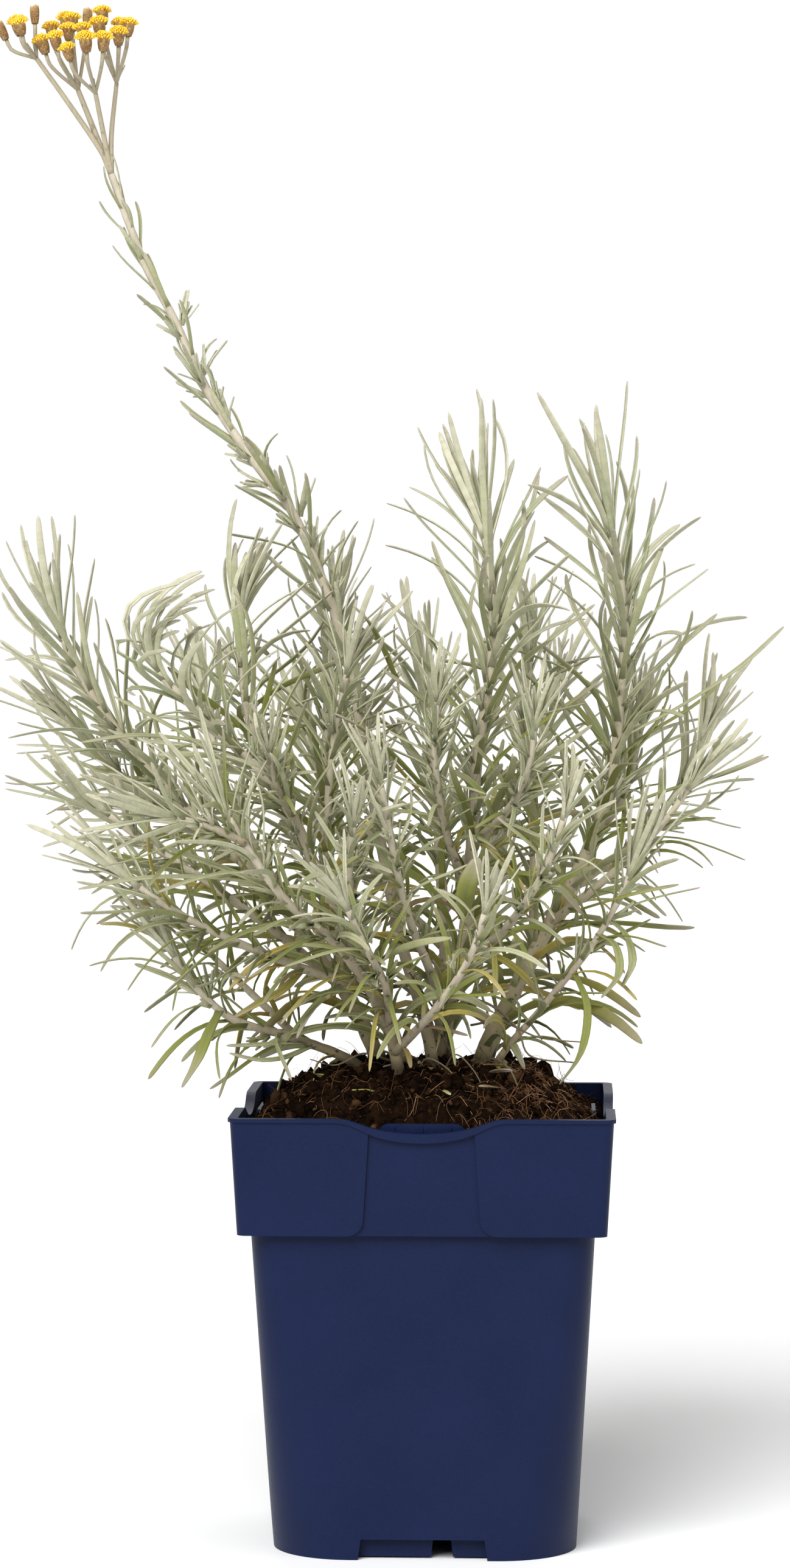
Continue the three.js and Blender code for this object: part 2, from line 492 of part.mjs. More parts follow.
/**
 * A narrow leaf that leaves the stem at an angle from its direction and curls towards it.
 * Its section is a flat triangle with the keel below.
 */
function leafSolid(root, along, out, length, lean, curl, extra = 0) {
  const side = new THREE.Vector3().crossVectors(along, out).normalize();
  const centre = root.clone();
  const rings = [];
  for (let k = 0; k <= LEAF_STEPS; k++) {
    const share = k / LEAF_STEPS;
    const angle = lean - curl * share;
    const forward = along.clone().multiplyScalar(Math.cos(angle))
      .addScaledVector(out, Math.sin(angle));
    const up = new THREE.Vector3().crossVectors(forward, side);
    if (k === LEAF_STEPS) {
      rings.push([centre.clone()]);
      break;
    }
    const half = (LEAF_WIDTH / 2) * (share === 0 ? 0.7 : 1) + extra;
    const deep = LEAF_THICKNESS * 0.5 + extra;
    rings.push([
      centre.clone().addScaledVector(side, half).addScaledVector(up, deep * 0.6),
      centre.clone().addScaledVector(side, -half).addScaledVector(up, deep * 0.6),
      centre.clone().addScaledVector(up, -deep),
    ]);
    centre.addScaledVector(forward, length / LEAF_STEPS);
  }
  return facingOut(loft(rings));
}

/** The solid of a closed mesh whichever way its faces were wound. */
function facingOut(geometry) {
  const made = solid(geometry);
  if (made.volume() > 0) return made;
  const position = geometry.getAttribute("position");
  for (let i = 0; i < position.count; i += 3) {
    const [a, c] = [i, i + 2].map((n) => new THREE.Vector3().fromBufferAttribute(position, n));
    position.setXYZ(i, ...c.toArray());
    position.setXYZ(i + 2, ...a.toArray());
  }
  return solid(geometry);
}

/** How a stem's leaf number i sits: its place, direction and shape. */
function leafSeat(stem, curve, i, seed, twist) {
  const share = stem.leafy + (1 - stem.leafy) * ((i + 0.6) / stem.leaves) ** 0.85;
  const at = Math.min(share, 0.985);
  const along = curve.getTangentAt(at);
  const across = new THREE.Vector3(0, 0, 1).cross(along);
  if (across.length() < 0.1) across.set(1, 0, 0);
  const turn = i * GOLDEN_TURN + seed + twist;
  const out = across.normalize().applyAxisAngle(along, turn);
  const height = (at - stem.leafy) / (1 - stem.leafy);
  const lean = THREE.MathUtils.lerp(1.25, 0.32, height ** 1.2) + 0.2 * (scatter(i, seed) - 0.5);
  const size = 1 - 0.45 * Math.abs(height - 0.62) ** 1.3;
  const length = stem.leaf * size * (0.85 + 0.25 * scatter(seed, i));
  return { root: curve.getPointAt(at), along, out, length, lean, curl: 0.35 + 0.3 * (1 - height) };
}

const TWISTS = [0, 0.5, -0.5, 1, -1, 1.6, -1.6, 2.2, -2.2, 3.1];

/** Joins leaves to a stem where they are clear of everything else. */
function withLeaves(stem, body, seed, others) {
  const curve = stemCurve(stem);
  for (let i = 0; i < stem.leaves; i++)
    for (const twist of TWISTS) {
      const { root, along, out, length, lean, curl } = leafSeat(stem, curve, i, seed, twist);
      const space = leafSolid(root, along, out, length + 1, lean, curl, GAP);
      if (others.some((other) => meets(space, other))) continue;
      body = body.add(leafSolid(root, along, out, length, lean, curl));
      break;
    }
  return body;
}

/** Whether two solids share any space. */
function meets(a, b) {
  const [p, q] = [a.boundingBox(), b.boundingBox()];
  if ([0, 1, 2].some((k) => p.min[k] > q.max[k] || q.min[k] > p.max[k])) return false;
  return !a.intersect(b).isEmpty();
}

// ---- the corymb -------------------------------------------------------------------------------
const lineBetween = (points) => new THREE.CatmullRomCurve3(points, false, "centripetal");

/** The way a flower head faces: along its pedicel, turned upwards. */
function headAim(fork, seat) {
  return seat.clone().sub(fork).normalize().add(new THREE.Vector3(0, 0, 1.2)).normalize();
}

function corymbSolid() {
  let body = null;
  for (const branch of CORYMB) {
    const points = [CORYMB_FOOT, ...branch.route].map(vector);
    const fork = points.at(-1);
    const limb = solid(taperedTube(lineBetween(points), branch.radius, branch.radius * 0.8, 5,
      points.length - 1));
    body = body ? body.add(limb) : limb;
    for (const head of branch.heads) {
      const seat = vector(head);
      const bend = seat.clone().addScaledVector(headAim(fork, seat), -3);
      const pedicel = lineBetween([fork, bend, seat]);
      body = body.add(solid(taperedTube(pedicel, PEDICEL_RADIUS, PEDICEL_RADIUS, 4, 2)));
    }
  }
  return body;
}

/** One flower head: a narrow cup of bracts that opens to a flat disc of florets. */
function headGeometry() {
  const [r, h] = [HEAD_RADIUS, HEAD_LENGTH];
  const outline = [[0, 0], [r * 0.55, 0.1 * h], [r * 0.85, 0.35 * h], [r * 0.78, 0.68 * h],
    [r * 1.1, 0.84 * h], [r * 0.95, h], [0, h * 1.03]];
  return new THREE.LatheGeometry(outline.map((p) => new THREE.Vector2(...p)), HEAD_SIDES)
    .rotateX(Math.PI / 2);
}

// ---- the assembly -----------------------------------------------------------------------------
const plant = new THREE.Group();

function addPiece(name, geometry, look) {
  const mesh = new THREE.Mesh(geometry, new THREE.MeshStandardMaterial(COLOURS[look]));
  mesh.name = name;
  plant.add(mesh);
  return mesh;
}

const pot = potSolid();
addPiece("pot", geometryOf(pot), "pot");

const rooted = STEMS.filter((stem) => !stem.from);
const soil = soilSolid([
  ...QUARTERS.map((quarter) => solid(turned(pocketSpace(), quarter))),
  ...rooted.map((stem) => stemTube(stem, GAP)),
]);
addPiece("potting_soil", geometryOf(soil), "soil");

// Every stem is cut clear of the one that it grows from.
const tubes = new Map(STEMS.map((stem) => [stem.name, stemTube(stem)]));
const byName = new Map(STEMS.map((stem) => [stem.name, stem]));
for (const stem of STEMS)
  if (stem.from) {
    const parent = stemTube(byName.get(stem.from), GAP);
    tubes.set(stem.name, largest(tubes.get(stem.name).subtract(parent)));
  }
tubes.set("flower_stalk", tubes.get("flower_stalk").add(corymbSolid()));

const seatedHeads = CORYMB.flatMap(({ route, heads }) =>
  heads.map((head) => {
    const seat = vector(head);
    const aim = headAim(vector(route.at(-1)), seat);
    return { foot: seat.addScaledVector(aim, GAP), aim };
  }));
const headBodies = seatedHeads.map(({ foot, aim }) => {
  const upright = new THREE.Quaternion().setFromUnitVectors(new THREE.Vector3(0, 0, 1), aim);
  return solid(headGeometry().applyQuaternion(upright).translate(...foot.toArray()));
});

STEMS.forEach((stem, index) => {
  const others = [pot, soil, ...headBodies];
  for (const [name, body] of tubes) if (name !== stem.name) others.push(body);
  const body = withLeaves(stem, tubes.get(stem.name), index + 1, others);
  tubes.set(stem.name, body);
  const look = stem.name === "flower_stalk" ? "stalk" : "shoot";
  addPiece(stem.name, geometryOf(body), look);
});

headBodies.forEach((body, index) => {
  const number = String(index + 1).padStart(2, "0");
  addPiece("flower_head_" + number, geometryOf(body), "flower");
});

export default plant;
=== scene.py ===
"""A potted curry plant (Helichrysum italicum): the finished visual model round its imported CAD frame.

Lengths here are in millimetres and become metres when a mesh is made. -Y is the front.
"""
import math
from functools import lru_cache

import bmesh
import bpy
import numpy as np
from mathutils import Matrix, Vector


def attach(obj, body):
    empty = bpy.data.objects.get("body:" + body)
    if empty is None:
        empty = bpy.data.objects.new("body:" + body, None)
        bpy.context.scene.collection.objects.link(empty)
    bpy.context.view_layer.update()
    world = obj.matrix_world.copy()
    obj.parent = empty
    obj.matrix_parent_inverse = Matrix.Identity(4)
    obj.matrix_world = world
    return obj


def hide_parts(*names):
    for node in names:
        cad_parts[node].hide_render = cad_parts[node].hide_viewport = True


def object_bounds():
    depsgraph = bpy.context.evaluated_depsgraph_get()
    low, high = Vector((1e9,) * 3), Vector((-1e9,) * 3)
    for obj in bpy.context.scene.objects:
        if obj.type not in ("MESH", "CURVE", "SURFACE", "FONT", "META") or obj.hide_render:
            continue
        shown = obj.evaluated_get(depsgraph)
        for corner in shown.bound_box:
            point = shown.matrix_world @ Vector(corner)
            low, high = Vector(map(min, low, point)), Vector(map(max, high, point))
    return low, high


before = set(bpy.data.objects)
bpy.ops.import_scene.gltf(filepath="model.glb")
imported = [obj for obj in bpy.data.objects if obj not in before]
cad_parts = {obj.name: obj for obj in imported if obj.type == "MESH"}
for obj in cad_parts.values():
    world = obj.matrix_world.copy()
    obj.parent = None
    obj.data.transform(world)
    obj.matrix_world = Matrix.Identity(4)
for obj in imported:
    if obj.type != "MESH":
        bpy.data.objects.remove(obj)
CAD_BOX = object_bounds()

MM = 0.001
UP = np.array((0.0, 0.0, 1.0))
random = np.random.default_rng(7)


# ---- camera, light and floor ------------------------------------------------------------------
CAMERA_PLACE = (39.5, -1276.4, 258.5)
CAMERA_HEADING = 2.2  # degrees from +Y towards -X
CAMERA_DIP = 1.695  # degrees below the horizon
FOCAL_LENGTH = 99.66
FRAME_HEIGHT = 36.0
ROOM_LIGHT = 0.13  # the white room's strength on the plant; its background stays white


def make_camera():
    data = bpy.data.cameras.new("camera")
    data.sensor_fit = "VERTICAL"
    data.sensor_height = FRAME_HEIGHT
    data.lens = FOCAL_LENGTH
    data.clip_start = 0.01
    camera = bpy.data.objects.new("camera", data)
    camera.location = [MM * c for c in CAMERA_PLACE]
    camera.rotation_euler = (math.radians(90 - CAMERA_DIP), 0, math.radians(CAMERA_HEADING))
    bpy.context.collection.objects.link(camera)
    bpy.context.scene.camera = camera


def soft_sun(name, towards, strength, spread):
    """Even light from a large source that lies that way from the plant."""
    data = bpy.data.lights.new(name, "SUN")
    data.energy = strength
    data.angle = math.radians(spread)
    light = bpy.data.objects.new(name, data)
    light.rotation_euler = Vector(towards).to_track_quat("Z", "Y").to_euler()
    bpy.context.collection.objects.link(light)


def make_studio():
    world = bpy.data.worlds.new("studio")
    world.use_nodes = True
    background = world.node_tree.nodes["Background"]
    background.inputs["Color"].default_value = (1, 1, 1, 1)
    seen = world.node_tree.nodes.new("ShaderNodeLightPath")
    strength = world.node_tree.nodes.new("ShaderNodeMapRange")
    strength.inputs["To Min"].default_value = ROOM_LIGHT
    world.node_tree.links.new(seen.outputs["Is Camera Ray"], strength.inputs["Value"])
    world.node_tree.links.new(strength.outputs["Result"], background.inputs["Strength"])
    bpy.context.scene.world = world
    bpy.context.scene.view_settings.view_transform = "Standard"
    soft_sun("key", (-0.42, -1.0, 0.95), 3.9, 40)
    soft_sun("fill", (0.9, -0.7, 0.7), 0.9, 70)
    soft_sun("back", (0.2, 1.0, 0.7), 0.9, 60)
    bpy.ops.mesh.primitive_plane_add(size=60, location=(0, 0, 0))
    floor = bpy.context.object
    floor.name = "floor"
    floor.data.materials.append(plain_material("floor", (0.93, 0.93, 0.93), 0.9))


# ---- materials --------------------------------------------------------------------------------
class Look:
    """A node material under construction."""

    def __init__(self, name, roughness=0.8, **sockets):
        self.material = bpy.data.materials.new(name)
        self.material.use_nodes = True
        self.tree = self.material.node_tree
        self.shader = self.tree.nodes["Principled BSDF"]
        self.shader.inputs["Roughness"].default_value = roughness
        for socket, value in sockets.items():
            self.shader.inputs[socket.replace("_", " ")].default_value = value

    def node(self, kind, **inputs):
        made = self.tree.nodes.new(kind)
        for name, value in inputs.items():
            self.put(made.inputs[name.replace("_", " ")], value)
        return made

    def put(self, socket, value):
        if isinstance(value, bpy.types.NodeSocket):
            self.tree.links.new(value, socket)
        elif isinstance(value, tuple) and socket.type == "RGBA":
            socket.default_value = (*value, 1)
        else:
            socket.default_value = value

    def value(self, name):
        """A value that the mesh carries at its points."""
        made = self.node("ShaderNodeAttribute")
        made.attribute_name = name
        return made.outputs["Fac"]

    def place(self):
        return self.node("ShaderNodeTexCoord").outputs["Object"]

    def noise(self, vector, scale, detail=3.0, roughness=0.55):
        made = self.node("ShaderNodeTexNoise", Vector=vector, Scale=scale, Detail=detail,
                         Roughness=roughness)
        return made.outputs["Fac"]

    def ramp(self, value, low, high, to_low=0.0, to_high=1.0):
        made = self.node("ShaderNodeMapRange", Value=value)
        for name, number in (("From Min", low), ("From Max", high), ("To Min", to_low),
                             ("To Max", to_high)):
            made.inputs[name].default_value = number
        return made.outputs["Result"]

    def maths(self, operation, a, b=0.0):
        made = self.node("ShaderNodeMath")
        made.operation = operation
        self.put(made.inputs[0], a)
        self.put(made.inputs[1], b)
        return made.outputs[0]

    def mix(self, share, a, b, blend="MIX"):
        made = self.tree.nodes.new("ShaderNodeMix")
        made.data_type = "RGBA"
        made.blend_type = blend
        self.put(made.inputs[0], share)
        self.put(made.inputs[6], a)
        self.put(made.inputs[7], b)
        return made.outputs[2]

    def coordinates(self, x, y, z):
        made = self.node("ShaderNodeCombineXYZ")
        for socket, value in zip(made.inputs, (x, y, z)):
            self.put(socket, value)
        return made.outputs[0]

    def finish(self, colour, bump=None, strength=0.3, depth=0.0002):
        self.put(self.shader.inputs["Base Color"], colour)
        if bump is not None:
            made = self.node("ShaderNodeBump", Height=bump, Strength=strength, Distance=depth)
            self.tree.links.new(made.outputs[0], self.shader.inputs["Normal"])
        return self.material


def plain_material(name, colour, roughness):
    return Look(name, roughness).finish(colour)


def pot_material():
    """Navy polypropylene with a fine moulded grain."""
    look = Look("navy_plastic", 0.42, Specular_IOR_Level=0.13)
    place = look.place()
    grain = look.noise(place, 2600.0, 2.0, 0.6)
    cloud = look.noise(place, 38.0, 3.0)
    colour = look.mix(look.ramp(cloud, 0.3, 0.7), (0.0035, 0.0085, 0.037), (0.0048, 0.011, 0.045))
    colour = look.mix(look.ramp(grain, 0.35, 0.75, 0.0, 0.35), colour, (0.011, 0.02, 0.065))
    look.put(look.shader.inputs["Roughness"], look.ramp(grain, 0.3, 0.7, 0.36, 0.5))
    return look.finish(colour, grain, 0.35, 0.0001)


def soil_material():
    """Damp dark peat, lighter where its grains are dry."""
    look = Look("peat", 0.95, Specular_IOR_Level=0.03)
    place = look.place()
    lumps = look.noise(place, 210.0, 5.0, 0.65)
    dust = look.noise(place, 900.0, 4.0, 0.7)
    tint = look.value("tint")
    colour = look.mix(look.ramp(lumps, 0.35, 0.7), (0.0012, 0.0005, 0.0003), (0.016, 0.0075, 0.0035))
    colour = look.mix(look.ramp(dust, 0.55, 0.8, 0.0, 0.55), colour, (0.06, 0.03, 0.014))
    colour = look.mix(look.ramp(tint, 0.55, 1.0, 0.0, 0.8), colour, (0.08, 0.04, 0.018))
    return look.finish(colour, dust, 0.8, 0.0006)


def fibre_material():
    """Coir, roots and chips of wood in the soil."""
    look = Look("fibre", 0.8, Specular_IOR_Level=0.3)
    grain = look.noise(look.place(), 1300.0, 3.0)
    tint = look.value("tint")
    colour = look.mix(look.ramp(tint, 0.0, 0.5), (0.03, 0.013, 0.006), (0.2, 0.085, 0.03))
    colour = look.mix(look.ramp(tint, 0.72, 1.0), colour, (0.5, 0.31, 0.17))
    colour = look.mix(look.ramp(grain, 0.3, 0.7, 0.0, 0.5), colour, (0.09, 0.045, 0.022))
    return look.finish(colour, grain, 0.4, 0.0001)


def stem_material():
    """Bark: dark and scarred at the foot, olive-grey above, and pale and woolly near the tips."""
    look = Look("bark", 0.85, Sheen_Weight=0.06, Specular_IOR_Level=0.25)
    place = look.place()
    age_and_shade = look.value("age_and_shade")
    tint = look.value("tint")
    stretched = look.node("ShaderNodeMapping", Vector=place)
    stretched.inputs["Scale"].default_value = (1, 1, 0.25)
    bark = look.noise(stretched.outputs[0], 700.0, 5.0, 0.65)
    specks = look.noise(place, 520.0, 2.0, 0.5)
    colour = look.mix(look.ramp(age_and_shade, 0.1, 0.55), (0.62, 0.55, 0.44), (0.34, 0.27, 0.16))
    colour = look.mix(look.ramp(age_and_shade, 0.7, 1.0), colour, (0.06, 0.036, 0.021))
    colour = look.mix(look.ramp(bark, 0.35, 0.7, 0.3, 0.0), colour, (0.14, 0.125, 0.07))
    speckled = look.maths("MULTIPLY", look.ramp(specks, 0.62, 0.68), look.ramp(age_and_shade, 0.15, 0.6))
    colour = look.mix(speckled, colour, (0.035, 0.022, 0.014))
    colour = look.mix(look.ramp(tint, 0.0, 1.0, 0.0, 0.2), colour, (0.3, 0.31, 0.16))
    return look.finish(colour, bark, 0.5, 0.0003)


def leaf_material():
    """Felted leaves: silver-green, greener in the groove, darker olive on older leaves inside and low
    in the plant (partly age, partly painted shade), then yellow and then brown with age.
    """
    look = Look("felted_leaf", 0.72, Sheen_Weight=0.08, Sheen_Roughness=0.5,
                Specular_IOR_Level=0.2)
    age_and_shade, tint = look.value("age_and_shade"), look.value("tint")
    along, groove = look.value("along"), look.value("groove")
    lines = look.noise(look.coordinates(look.maths("MULTIPLY", groove, 3.0),
                                        look.maths("MULTIPLY", along, 5.0),
                                        look.maths("MULTIPLY", tint, 90.0)), 3.0, 4.0)
    felt = look.noise(look.place(), 1500.0, 4.0, 0.7)
    colour = look.mix(look.ramp(tint, 0.0, 1.0), (0.62, 0.6, 0.445), (0.315, 0.34, 0.185))
    # Dark olive for older leaves, which sit low on their shoots and low in the plant: partly their
    # age, partly painted shade for the inside of the foliage.
    colour = look.mix(look.ramp(age_and_shade, 0.06, 0.5), colour, (0.2, 0.215, 0.042))
    colour = look.mix(look.ramp(age_and_shade, 0.66, 0.84), colour, (0.56, 0.41, 0.09))
    colour = look.mix(look.ramp(age_and_shade, 0.92, 1.1), colour, (0.15, 0.085, 0.045))
    colour = look.mix(look.ramp(groove, 0.35, 1.0, 0.0, 0.62), colour, (0.15, 0.17, 0.055))
    tip = look.maths("MULTIPLY", look.ramp(along, 0.62, 1.0), look.ramp(tint, 0.2, 0.9, 0.3, 0.8))
    colour = look.mix(tip, colour, (0.39, 0.325, 0.285))
    woolly = look.maths("MULTIPLY", look.ramp(felt, 0.35, 0.75, 0.0, 0.34),
                        look.ramp(age_and_shade, 0.0, 0.5, 1.0, 0.15))
    colour = look.mix(woolly, colour, (0.66, 0.64, 0.52))
    colour = look.mix(look.ramp(lines, 0.3, 0.62, 0.3, 0.0), colour, (0.18, 0.21, 0.07))
    return look.finish(colour, felt, 0.45, 0.00015)


def bract_material():
    """Papery bracts: straw-coloured rims on brown, darker brown towards the foot."""
    look = Look("papery_bract", 0.6, Specular_IOR_Level=0.4)
    along, tint = look.value("along"), look.value("tint")
    veins = look.noise(look.place(), 2400.0, 3.0)
    colour = look.mix(look.ramp(tint, 0.0, 1.0), (0.27, 0.125, 0.04), (0.6, 0.4, 0.15))
    colour = look.mix(look.ramp(along, 0.6, 1.0, 0.0, 0.75), colour, (0.8, 0.58, 0.25))
    colour = look.mix(look.ramp(along, 0.0, 0.5, 0.7, 0.0), colour, (0.13, 0.06, 0.025))
    colour = look.mix(look.ramp(veins, 0.35, 0.65, 0.5, 0.0), colour, (0.2, 0.11, 0.045))
    return look.finish(colour, veins, 0.3, 0.0001)


def floret_material():
    look = Look("floret", 0.6, Sheen_Weight=0.1, Specular_IOR_Level=0.35)
    along, tint = look.value("along"), look.value("tint")
    colour = look.mix(look.ramp(tint, 0.0, 1.0), (1.0, 0.56, 0.01), (1.0, 0.74, 0.06))
    colour = look.mix(look.ramp(along, 0.0, 0.5, 0.6, 0.0), colour, (0.7, 0.3, 0.012))
    return look.finish(colour, look.noise(look.place(), 2600.0, 2.0), 0.3, 0.0001)


# ---- meshes -----------------------------------------------------------------------------------
def unit(vector):
    return vector / np.linalg.norm(vector, axis=-1, keepdims=True)


@lru_cache(None)
def tube_faces(rows, sides):
    """The faces of a closed tube of rings."""
    row = np.arange(rows - 1)[:, None] * sides
    here = np.arange(sides)[None, :]
    after = (here + 1) % sides
    quads = np.stack([row + here, row + after, row + after + sides, row + here + sides], -1)
    foot = np.arange(sides)[::-1][None, :]
    top = (rows - 1) * sides + np.arange(sides)[None, :]
    return quads.reshape(-1, 4), foot, top


class Builder:
    """Gathers vertices, faces and values at the vertices, and makes one piece of them."""

    def __init__(self, *names):
        self.vertices = []
        self.faces = []
        self.values = {name: [] for name in names}
        self.count = 0

    def add(self, vertices, faces, **values):
        self.vertices.append(vertices)
        self.faces.extend(group + self.count for group in faces)
        for name, store in self.values.items():
            store.append(np.broadcast_to(np.asarray(values[name], float), len(vertices)))
        self.count += len(vertices)

    def rings(self, rings, **values):
        """Adds a closed tube. Rings is an array of (rows, sides, 3)."""
        rows, sides = rings.shape[:2]
        self.add(rings.reshape(-1, 3), tube_faces(rows, sides), **values)

    def piece(self, name, material, slot, *nodes):
        mesh = bpy.data.meshes.new(name)
        vertices = np.concatenate(self.vertices) * MM
        corners = np.concatenate([group.ravel() for group in self.faces])
        sizes = np.concatenate([np.full(len(group), group.shape[1]) for group in self.faces])
        mesh.vertices.add(len(vertices))
        mesh.vertices.foreach_set("co", vertices.ravel())
        mesh.loops.add(len(corners))
        mesh.loops.foreach_set("vertex_index", corners.astype(np.int32))
        mesh.polygons.add(len(sizes))
        starts = np.concatenate([[0], np.cumsum(sizes)[:-1]])
        mesh.polygons.foreach_set("loop_start", starts.astype(np.int32))
        mesh.update(calc_edges=True)
        mesh.shade_smooth()
        for key, store in self.values.items():
            layer = mesh.attributes.new(key, "FLOAT", "POINT")
            layer.data.foreach_set("value", np.concatenate(store).astype(np.float32))
        return add_piece(name, mesh, material, slot, *nodes)


def add_piece(name, mesh, material, slot, *nodes):
    piece = bpy.data.objects.new(name, mesh)
    mesh.materials.append(material)
    bpy.context.collection.objects.link(piece)
    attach(piece, "root")
    if nodes:
        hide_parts(*nodes)
    return piece


def steady_frames(directions):
    """Two crosswise directions at each point of a path, turned as little as possible."""
    start = np.cross(directions[0], UP)
    if np.linalg.norm(start) < 0.1:
        start = np.cross(directions[0], (0, 1, 0))
    sides = [unit(start)]
    for direction in directions[1:]:
        side = sides[-1] - direction * (sides[-1] @ direction)
        sides.append(unit(side))
    sides = np.array(sides)
    return sides, np.cross(directions, sides)


class Route:
    """A centripetal Catmull-Rom curve through points, read by its share of length."""

    def __init__(self, points, samples=20):
        p = np.array(points, float)
        ends = [2 * p[0] - p[1], *p, 2 * p[-1] - p[-2]]
        dense = [p[:1]]
        for span in zip(ends, ends[1:], ends[2:], ends[3:]):
            dense.append(self.span(*span, np.linspace(0, 1, samples + 1)[1:, None]))
        self.points = np.concatenate(dense)
        steps = np.linalg.norm(np.diff(self.points, axis=0), axis=1)
        self.run = np.concatenate([[0], np.cumsum(steps)])
        self.length = self.run[-1]

    @staticmethod
    def span(a, b, c, d, s):
        before, here, after = (math.sqrt(np.linalg.norm(q - p)) for p, q in ((a, b), (b, c), (c, d)))
        leave = ((b - a) / before - (c - a) / (before + here) + (c - b) / here) * here
        arrive = ((c - b) / here - (d - b) / (here + after) + (d - c) / after) * here
        square = -3 * b + 3 * c - 2 * leave - arrive
        cube = 2 * b - 2 * c + leave + arrive
        return b + leave * s + square * s**2 + cube * s**3

    def at(self, share):
        run = np.asarray(share, float) * self.length
        return np.stack([np.interp(run, self.run, self.points[:, k]) for k in range(3)], -1)

    def heading(self, share):
        share = np.asarray(share, float)
        step = 0.5 / self.length
        ahead = self.at(np.minimum(share + step, 1))
        return unit(ahead - self.at(np.maximum(share - step, 0)))


# Where leaves may grow: the CAD model's box and a few millimetres.
LEAF_ROOM = 6
ROOM = (np.array(CAD_BOX[0]) / MM - LEAF_ROOM, np.array(CAD_BOX[1]) / MM + LEAF_ROOM)


# ---- leaves -----------------------------------------------------------------------------------
# Half a leaf's section, from its edge over its back to the groove and under its rolled rim to the
# midrib: how far across in half widths, how far up in half thicknesses, and how deep in the groove.
SECTION = [(1.0, 0.0, 0), (0.82, 0.62, 0), (0.42, 0.8, 0), (0.0, 0.28, 1), (-0.42, 0.8, 0),
           (-0.82, 0.62, 0), (-1.0, 0.0, 0), (-0.84, -0.5, 0), (-0.5, -0.4, 0), (0.0, -0.85, 0),
           (0.5, -0.4, 0), (0.84, -0.5, 0)]
SMALL_SECTION = [(1.0, 0.0, 0), (0.6, 0.75, 0), (0.0, 0.3, 1), (-0.6, 0.75, 0), (-1.0, 0.0, 0),
                 (-0.6, -0.55, 0), (0.0, -0.75, 0), (0.6, -0.55, 0)]


@lru_cache(None)
def leaf_shares(steps):
    """Stations along a leaf, closer together at its round tip."""
    body = np.linspace(0, 0.93, steps)
    return np.concatenate([body, [0.974, 1.0]])


def leaf_outline(share, broad):
    """Half the width along a leaf: narrow at the foot, widest past the middle, blunt at the tip."""
    foot = 0.82 + 0.3 * np.exp(-share / 0.04) + 0.18 * np.clip(share / 0.3, 0, 1)
    belly = 1 + broad * np.sin(np.pi * np.clip(share, 0, 1) ** 1.3)
    taper = 1 - 0.3 * np.clip((share - 0.66) / 0.34, 0, 1) ** 1.6
    tip = np.sqrt(np.clip(1 - ((share - 0.92) / 0.083).clip(0) ** 2, 0.012, 1))
    return foot * belly * taper * tip


def add_leaf(builder, spine, up, width, age_and_shade, tint, shares, broad=0.1, small=False):
    """A leaf along a spine with its upper face towards up."""
    steps = np.gradient(spine, axis=0)
    heading = unit(steps)
    up = unit(up - heading * (up * heading).sum(-1, keepdims=True))
    side = np.cross(up, heading)
    section = np.array(SMALL_SECTION if small else SECTION)
    half = (width / 2) * leaf_outline(shares, broad)[:, None]
    thick = (0.17 + 0.12 * width) * np.sqrt(leaf_outline(shares, 0))[:, None]
    rings = (spine[:, None, :] + side[:, None, :] * (half * section[:, 0])[..., None]
             + up[:, None, :] * (thick * section[:, 1])[..., None])
    rows, sides = rings.shape[:2]
    groove = np.tile(section[:, 2], rows) * (1 - 0.9 * np.repeat(shares, sides) ** 6)
    builder.rings(rings, age_and_shade=age_and_shade, tint=tint, along=np.repeat(shares, sides), groove=groove)


def grow_leaf(builder, root, along, out, length, width, lean, curl, droop=0.0, sway=0.0, twist=0.0,
              age_and_shade=0.0, tint=0.5, broad=0.1, small=False, sweep=(0, 0, 0)):
    """A leaf that leaves its stem at an angle, curls towards it, sags, sways aside and twists."""
    shares = leaf_shares(3 if small else 7 if length < 24 else 9)
    angle = lean * (0.5 + 1.3 * shares - 0.8 * shares**2) - curl * shares**1.6
    across = np.cross(along, out)
    heading = np.cos(angle)[:, None] * along + np.sin(angle)[:, None] * out
    pull = np.array(sweep) - droop * UP
    heading = heading + pull * shares[:, None] ** 1.4 + sway * shares[:, None] * across
    heading = unit(heading)
    middle = unit(heading[1:] + heading[:-1])
    steps = middle * (np.diff(shares) * length)[:, None]
    reach = np.concatenate([np.zeros((1, 3)), np.cumsum(steps, axis=0)])
    while np.any(root + reach[-1] < ROOM[0]) or np.any(root + reach[-1] > ROOM[1]):
        reach = reach * 0.85
    spine = root + reach
    up = np.sin(angle)[:, None] * along - np.cos(angle)[:, None] * out
    turn = (twist * shares)[:, None]
    up = up * np.cos(turn) + across * np.sin(turn)
    add_leaf(builder, spine, up, width, age_and_shade, tint, shares, broad, small)


def turned(vector, axis, angle):
    """A vector turned about a unit axis."""
    return (vector * math.cos(angle) + np.cross(axis, vector) * math.sin(angle)
            + axis * (axis @ vector) * (1 - math.cos(angle)))


def outward(along, angle):
    """A direction square to along, at an angle about it."""
    across = np.cross(UP, along)
    if np.linalg.norm(across) < 0.1:
        across = np.array((1.0, 0.0, 0.0))
    return turned(unit(across), along, angle)


